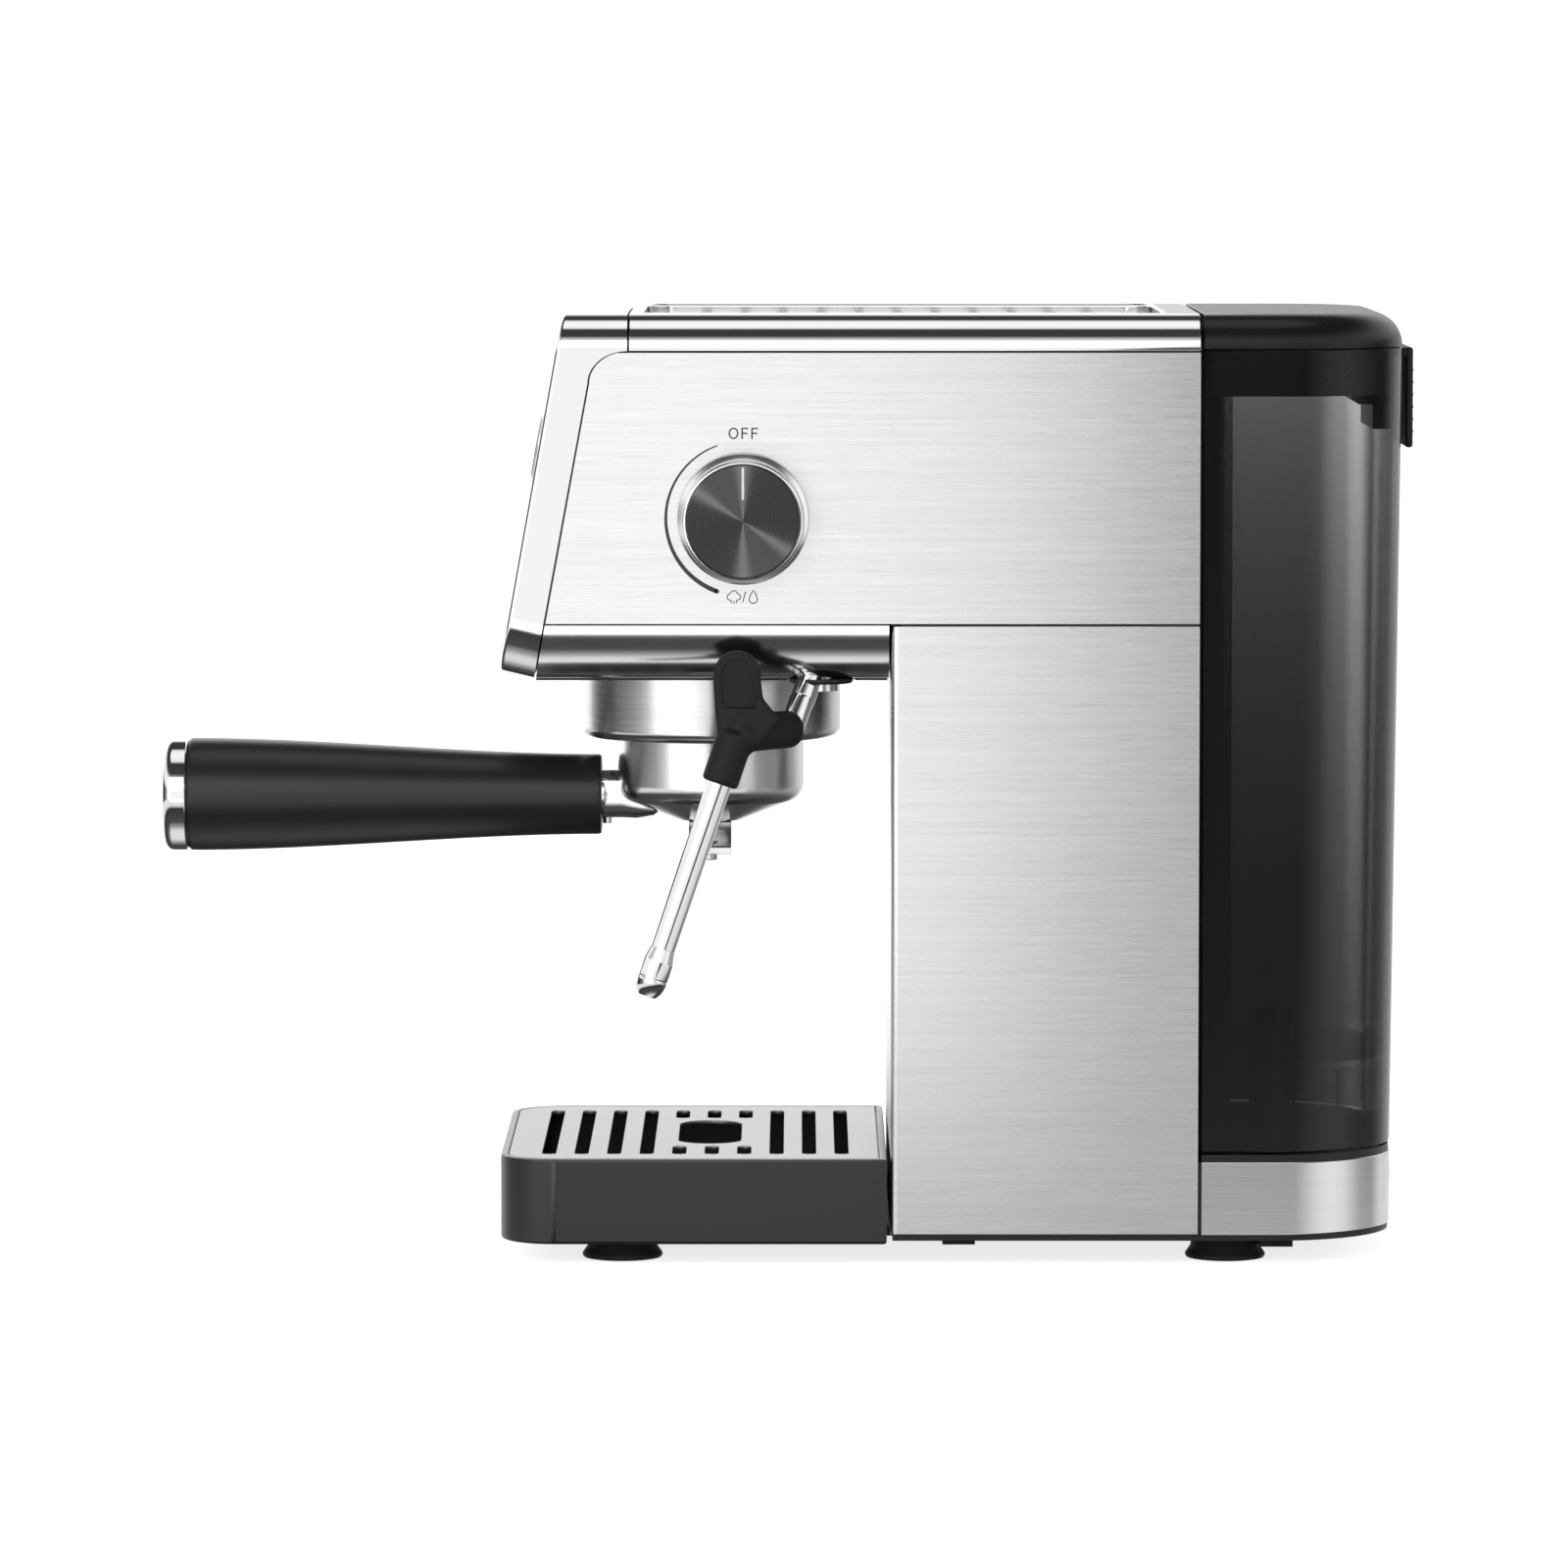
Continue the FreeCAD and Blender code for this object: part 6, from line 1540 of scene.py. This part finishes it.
# %% [markdown]
# The steam knob has a bright skirt ring and a dark spun face. The tool's grooves are modelled
# as well as painted: rings a few thousandths of a millimetre deep break the light up near
# the rim, where a perfectly flat disc would look like glass.

# %% Steam knob
KNOB_FRONT = high("knob_face", "x") - HALF
KNOB_RADIUS = high("knob_face", "z") - KNOB_Z
SKIRT = high("steam_knob", "z") - KNOB_Z
STEM_RADIUS = 3.0
GROOVE = 0.42
GROOVE_DEPTH = 0.006


def knob_lathe(name, profile, steps=128):
    """Turn a profile about the knob's axis; heights count outwards from the side panel."""
    return lathe(name, profile, (HALF, KNOB_Y, KNOB_Z), (1, 0, 0), steps)


wall = KNOB_RADIUS + 0.1
seat = KNOB_RADIUS - 1.2
drum = [(STEM_RADIUS, 0.8), (SKIRT - 0.5, 0.8), (SKIRT, 1.2), (SKIRT, 2.4)] + arc(SKIRT - 0.8, 2.6, 0.8, 0, 70, 5)
drum += [(wall, 4.0), (wall, KNOB_FRONT - 2.6)]
drum += curve((wall, KNOB_FRONT - 2.4), (wall, KNOB_FRONT - 0.4), (KNOB_RADIUS - 1.0, KNOB_FRONT - 0.35), 6)
drum += [(seat, KNOB_FRONT - 0.7), (seat, KNOB_FRONT - 2.0), (STEM_RADIUS, KNOB_FRONT - 2.0), (STEM_RADIUS, 0.8)]
finish_piece(smooth(knob_lathe("steam_knob_drum", drum), 35.0), knob_chrome, "steam_knob")


def grooved_face():
    """Dark disc with fine concentric grooves and a rounded rim."""
    edge = KNOB_RADIUS - 1.3
    profile = [(0, KNOB_FRONT - 1.9), (edge, KNOB_FRONT - 1.9), (edge, KNOB_FRONT - 0.8)]
    profile += arc(edge - 0.5, KNOB_FRONT - 0.6, 0.5, 0, 90, 4)
    r = edge - 0.6
    while r > 0.25:
        profile.append((r, KNOB_FRONT - 0.1 + GROOVE_DEPTH * math.cos(2 * math.pi * r / GROOVE)))
        r -= GROOVE / 5
    return smooth(knob_lathe("knob_face_spun", profile + [(0, KNOB_FRONT - 0.1)], 96), 45.0)


finish_piece(grooved_face(), knob_metal, "knob_face")
print("knob is", round(2 * SKIRT, 1), "mm across and reaches", round(KNOB_FRONT, 1), "mm out")


# %% [markdown]
# The dial is printed on the panel: an arc that gets thicker from off to full, the word OFF, and
# the signs for steam and hot water. Each mark is a ribbon a few hundredths of a millimetre
# thick that follows a line of points. A print that is a real thin piece keeps its edge at any
# distance, where a painted texture would blur.

# %% Dial print
PRINT_X = HALF + 0.01
PRINT = 0.05
SWEEP_RADIUS = 24.7
SWEEP_START = 19.5
SWEEP_TURN = 140.5
SWEEP_STEPS = 60
SWEEP_WIDTHS = (0.45, 1.5)
WORD_UP = 27.2
LETTER_HALF = 1.8
STROKE = 0.48
SIGNS_DOWN = 25.0


def ribbon(points, widths, x0=PRINT_X, x1=PRINT_X + PRINT, closed=False):
    """A flat stroke through (y, z) points, with a width at each point or one width for all."""
    count = len(points)
    left, right = [], []
    for i, (y, z) in enumerate(points):
        before = points[(i - 1) % count] if closed else points[max(i - 1, 0)]
        after = points[(i + 1) % count] if closed else points[min(i + 1, count - 1)]
        run = Vector((after[0] - before[0], after[1] - before[1])).normalized()
        off = Vector((-run.y, run.x)) * (widths[i] if isinstance(widths, list) else widths) / 2
        left.append((y + off.x, z + off.y))
        right.append((y - off.x, z - off.y))
    if not closed:
        return prism("mark", left + right[::-1], "x", x0, x1)
    loops = [[(x, y, z) for y, z in side] for x, side in ((x0, left), (x1, left), (x1, right), (x0, right))]
    return bridge("mark", loops, ring=True)


def dial_point(radius, angle):
    """(y, z) at an angle counted from the top towards the front."""
    a = math.radians(angle)
    return (KNOB_Y - radius * math.sin(a), KNOB_Z + radius * math.cos(a))


def moved(points, y, z):
    """Points moved to a place on the panel."""
    return [(y + u, z + v) for u, v in points]


def dial_marks():
    """Arc and word of the dial."""
    shares = [i / SWEEP_STEPS for i in range(SWEEP_STEPS + 1)]
    sweep = [dial_point(SWEEP_RADIUS, SWEEP_START + SWEEP_TURN * share) for share in shares]
    thin, thick = SWEEP_WIDTHS
    marks = [ribbon(sweep, [thin + (thick - thin) * share for share in shares]),
             prism("mark", arc(*sweep[-1], thick / 2, 0, 360, 24)[:-1], "x", PRINT_X, PRINT_X + PRINT)]
    z = KNOB_Z + WORD_UP
    ring = [(1.35 * math.cos(2 * math.pi * i / 32), 1.6 * math.sin(2 * math.pi * i / 32)) for i in range(32)]
    marks.append(ribbon(moved(ring, KNOB_Y - 3.1, z), STROKE, closed=True))
    bar_z = z + LETTER_HALF - STROKE / 2
    for y in (KNOB_Y - 0.35, KNOB_Y + 2.8):
        marks.append(ribbon([(y, z - LETTER_HALF), (y, z + LETTER_HALF)], STROKE))
        marks.append(ribbon([(y, bar_z), (y + 1.9, bar_z)], STROKE))
        marks.append(ribbon([(y, z), (y + 1.65, z)], STROKE))
    return marks


def steam_sign(size=1.0):
    """Two strokes of a puff of steam: its outline, open at the foot, and its stem."""
    puff = [(-0.7, -2.05)] + arc(-1.2, -0.05, 0.95, 285, 110, 8) + arc(0.0, 0.95, 1.05, 160, 20, 8)
    puff += arc(1.2, -0.05, 0.95, 70, -105, 8) + [(0.7, -2.05)]
    return [[(u * size, v * size) for u, v in stroke] for stroke in (puff, [(0.0, -2.1), (0.0, -1.3)])]


marks = dial_marks()
sign_z = KNOB_Z - SIGNS_DOWN
drop_sign = arc(0, -0.75, 1.3, 158, 382, 20) + [(0.75, 0.95), (0.0, 2.1), (-0.75, 0.95)]
marks += [ribbon(moved(stroke, KNOB_Y - 3.0, sign_z), 0.32) for stroke in steam_sign()]
marks.append(ribbon([(KNOB_Y - 0.15, sign_z - 1.7), (KNOB_Y + 0.75, sign_z + 1.7)], 0.34))
marks.append(ribbon(moved(drop_sign, KNOB_Y + 3.2, sign_z), 0.32, closed=True))
finish_piece(join("dial_print", *marks), ink, "upper_side_panel_right", replace=False)

pointer_x = HALF + KNOB_FRONT - 0.06
pointer = ribbon([(KNOB_Y, KNOB_Z + 7.0), (KNOB_Y, KNOB_Z + 17.2)], 0.75, pointer_x - 0.05, pointer_x)
pointer.name = "pointer_line"
finish_piece(pointer, pointer_ink, "knob_face", replace=False)
print("dial has", len(marks), "marks")


# %% [markdown]
# The steam pipe leaves the head through a black disc, turns forwards and ends in a rubber
# grip. The grip is one moulding of three parts that flow into each other: a socket on the
# pipe, a flat thumb tab and a sleeve on the tube. Such a blend is hard to draw with loops, so the
# parts are joined by a voxel remesh and the joints are smoothed, like clay.

# %% Pipe, grip, tube and nozzle
LEVEL = HEAD_FOOT - 15.6
PIPE_RADIUS = 4.0
TUBE_RADIUS = 4.0
TAB_BACK = 3.9
WAND_JOINT = Vector((HALF + 9.0, 13.3, LEVEL))
PIPE_TOP = Vector((PIPE.x, PIPE.y, high("steam_pipe", "z")))
PIPE_CORNER = Vector((PIPE.x, PIPE.y, LEVEL))
RUN = (WAND_JOINT - PIPE_CORNER).normalized()
SOCKET = PIPE_CORNER + RUN * 15.0
SLEEVE_TOP = WAND_JOINT + Vector((0.4, -4.0, 0))
TUBE_TOP = Vector((HALF + 10.3, 3.7, LEVEL - 16.3))
TIP_END = Vector((HALF + 15.0, -19.5, LEVEL - 83.7))
DOWN = (TIP_END - TUBE_TOP).normalized()


def rod(name, start, end, radius, edge=0.0, steps=48):
    """A round bar between two points, with soft ends."""
    length = (end - start).length
    profile = [(0, 0), (radius - edge, 0), (radius, edge), (radius, length - edge), (radius - edge, length),
               (0, length)]
    return lathe(name, profile, start, end - start, steps)


pipe_path = fillet_path([PIPE_TOP, PIPE_CORNER, SOCKET + RUN * 0.2], 10.0, 16)
pipe = tube("steam_pipe_chrome", pipe_path, PIPE_RADIUS, 48)
finish_piece(smooth(pipe, SOFT_ANGLE), chrome, "steam_pipe")

disc_top = high("steam_escutcheon", "z")
disc_foot = low("steam_escutcheon", "z")
disc = [(4.4, disc_top), (4.4, disc_foot + 0.4), (4.8, disc_foot), (9.0, disc_foot)]
disc += arc(9.3, disc_foot + 1.0, 1.0, 270, 360, 6) + [(10.3, disc_top), (4.4, disc_top)]
finish_piece(smooth(lathe("steam_escutcheon_disc", disc, (PIPE.x, PIPE.y, 0), steps=96), SOFT_ANGLE), black_plastic,
             "steam_escutcheon")


def grip():
    """Rubber grip, blended from a socket, a knee, a tab and a sleeve."""
    x, y = WAND_JOINT.x, WAND_JOINT.y
    socket = rod("grip_socket", SOCKET, WAND_JOINT, 6.1, 0.8)
    sleeve = rod("grip_sleeve", SLEEVE_TOP, TUBE_TOP, 6.0, 0.5)
    knee = rod("grip_knee", WAND_JOINT + Vector((-2, 1, 0)), SLEEVE_TOP + Vector((0, -1.5, -2)), 6.6, 3.0)
    outline = arc(-TAB_BACK, 18.6, 7.6, -10, 190, 24) + curve((-11.5, 16.5), (-11.2, 8.0), (-10.2, 0.0), 8)
    outline += curve((-10.4, -1.0), (-4.0, -5.0), (2.0, -3.0), 4) + curve((5.6, 2.0), (4.6, 9.0), (3.7, 16.5), 8)
    corners = [(-9.4, 3.0), (-3.0, 12.0), (4.2, 11.0), (9.5, 4.5), (4.0, -3.0), (-6.0, -8.0)]
    tab = prism("grip_tab", moved(outline, y, LEVEL), "x", x - 2.5, x + 2.5)
    web = prism("grip_web", moved(corners, y, LEVEL), "x", x - 3.6, x + 3.6)
    whole = join("steam_grip_rubber", socket, sleeve, knee, tab, web)
    remesh = whole.modifiers.new("clay", "REMESH")
    remesh.mode = "VOXEL"
    remesh.voxel_size = 0.5 * MM
    relax = whole.modifiers.new("relax", "SMOOTH")
    relax.iterations = 22
    relax.factor = 0.6
    apply_modifiers(whole)
    hollow = [(y - TAB_BACK + (u + TAB_BACK) * 0.66, LEVEL + 17.6 + (v - 17.6) * 0.70)
              for u, v in outline if v > 3.0]
    carve(whole, prism("hollow", hollow, "x", x + 1.9, x + 6.0))
    settle = whole.modifiers.new("settle", "SMOOTH")
    settle.iterations = 3
    apply_modifiers(whole)
    bore = rod("bore", TUBE_TOP - DOWN * 3.0, TUBE_TOP + DOWN * 5.0, 4.3)
    carve(whole, bore)
    return smooth(whole, 60.0)


finish_piece(grip(), rubber, "steam_grip")
strokes = [ribbon(moved(stroke, WAND_JOINT.y - TAB_BACK, LEVEL + 18.5), 0.4, WAND_JOINT.x + 1.85,
                  WAND_JOINT.x + 2.15) for stroke in steam_sign(1.9)]
finish_piece(join("grip_sign", *strokes), rubber, "steam_grip", replace=False)
print("grip built at x", round(WAND_JOINT.x, 1))


# %% [markdown]
# The tube is a plain chromed bar, and its nozzle is a turned collar with a waist, a
# shoulder and a domed end with one hole.

# %% Tube and nozzle
TIP_START = TIP_END - DOWN * 16.0
tube_bar = rod("wand_tube_chrome", TUBE_TOP - DOWN * 2.5, TIP_START + DOWN * 0.05, TUBE_RADIUS, 0.1)
finish_piece(smooth(tube_bar, SOFT_ANGLE), chrome, "wand_tube")
nozzle = [(0.8, 15.5), (0.8, 0.02), (4.05, 0.02), (4.15, 0.6), (4.9, 4.2), (5.0, 4.7), (5.0, 9.6), (4.85, 9.9)]
nozzle += [(4.85, 10.2), (5.0, 10.5)] + curve((5.0, 10.8), (4.9, 13.6), (3.1, 15.7), 8)
nozzle += [(2.8, 15.95), (1.2, 16.0), (0.8, 15.5)]
finish_piece(smooth(lathe("wand_nozzle", nozzle, TIP_START, DOWN, 64), 35.0), chrome, "wand_tip")
print("wand ends at z", round(TIP_END.z, 1))


# %% [markdown]
# The looks must not change the size of the machine. The box of the frame, taken at the
# start, and the box of the finished model are written side by side, so that they can be
# compared after each run.

# %% Size of the frame and of the finished model
new_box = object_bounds()
sizes = {"cad": [list(corner) for corner in cad_box], "visual": [list(corner) for corner in new_box]}
print("frame box ", [[round(v / MM, 1) for v in corner] for corner in sizes["cad"]])
print("visual box", [[round(v / MM, 1) for v in corner] for corner in sizes["visual"]])
print(len(built), "pieces built")
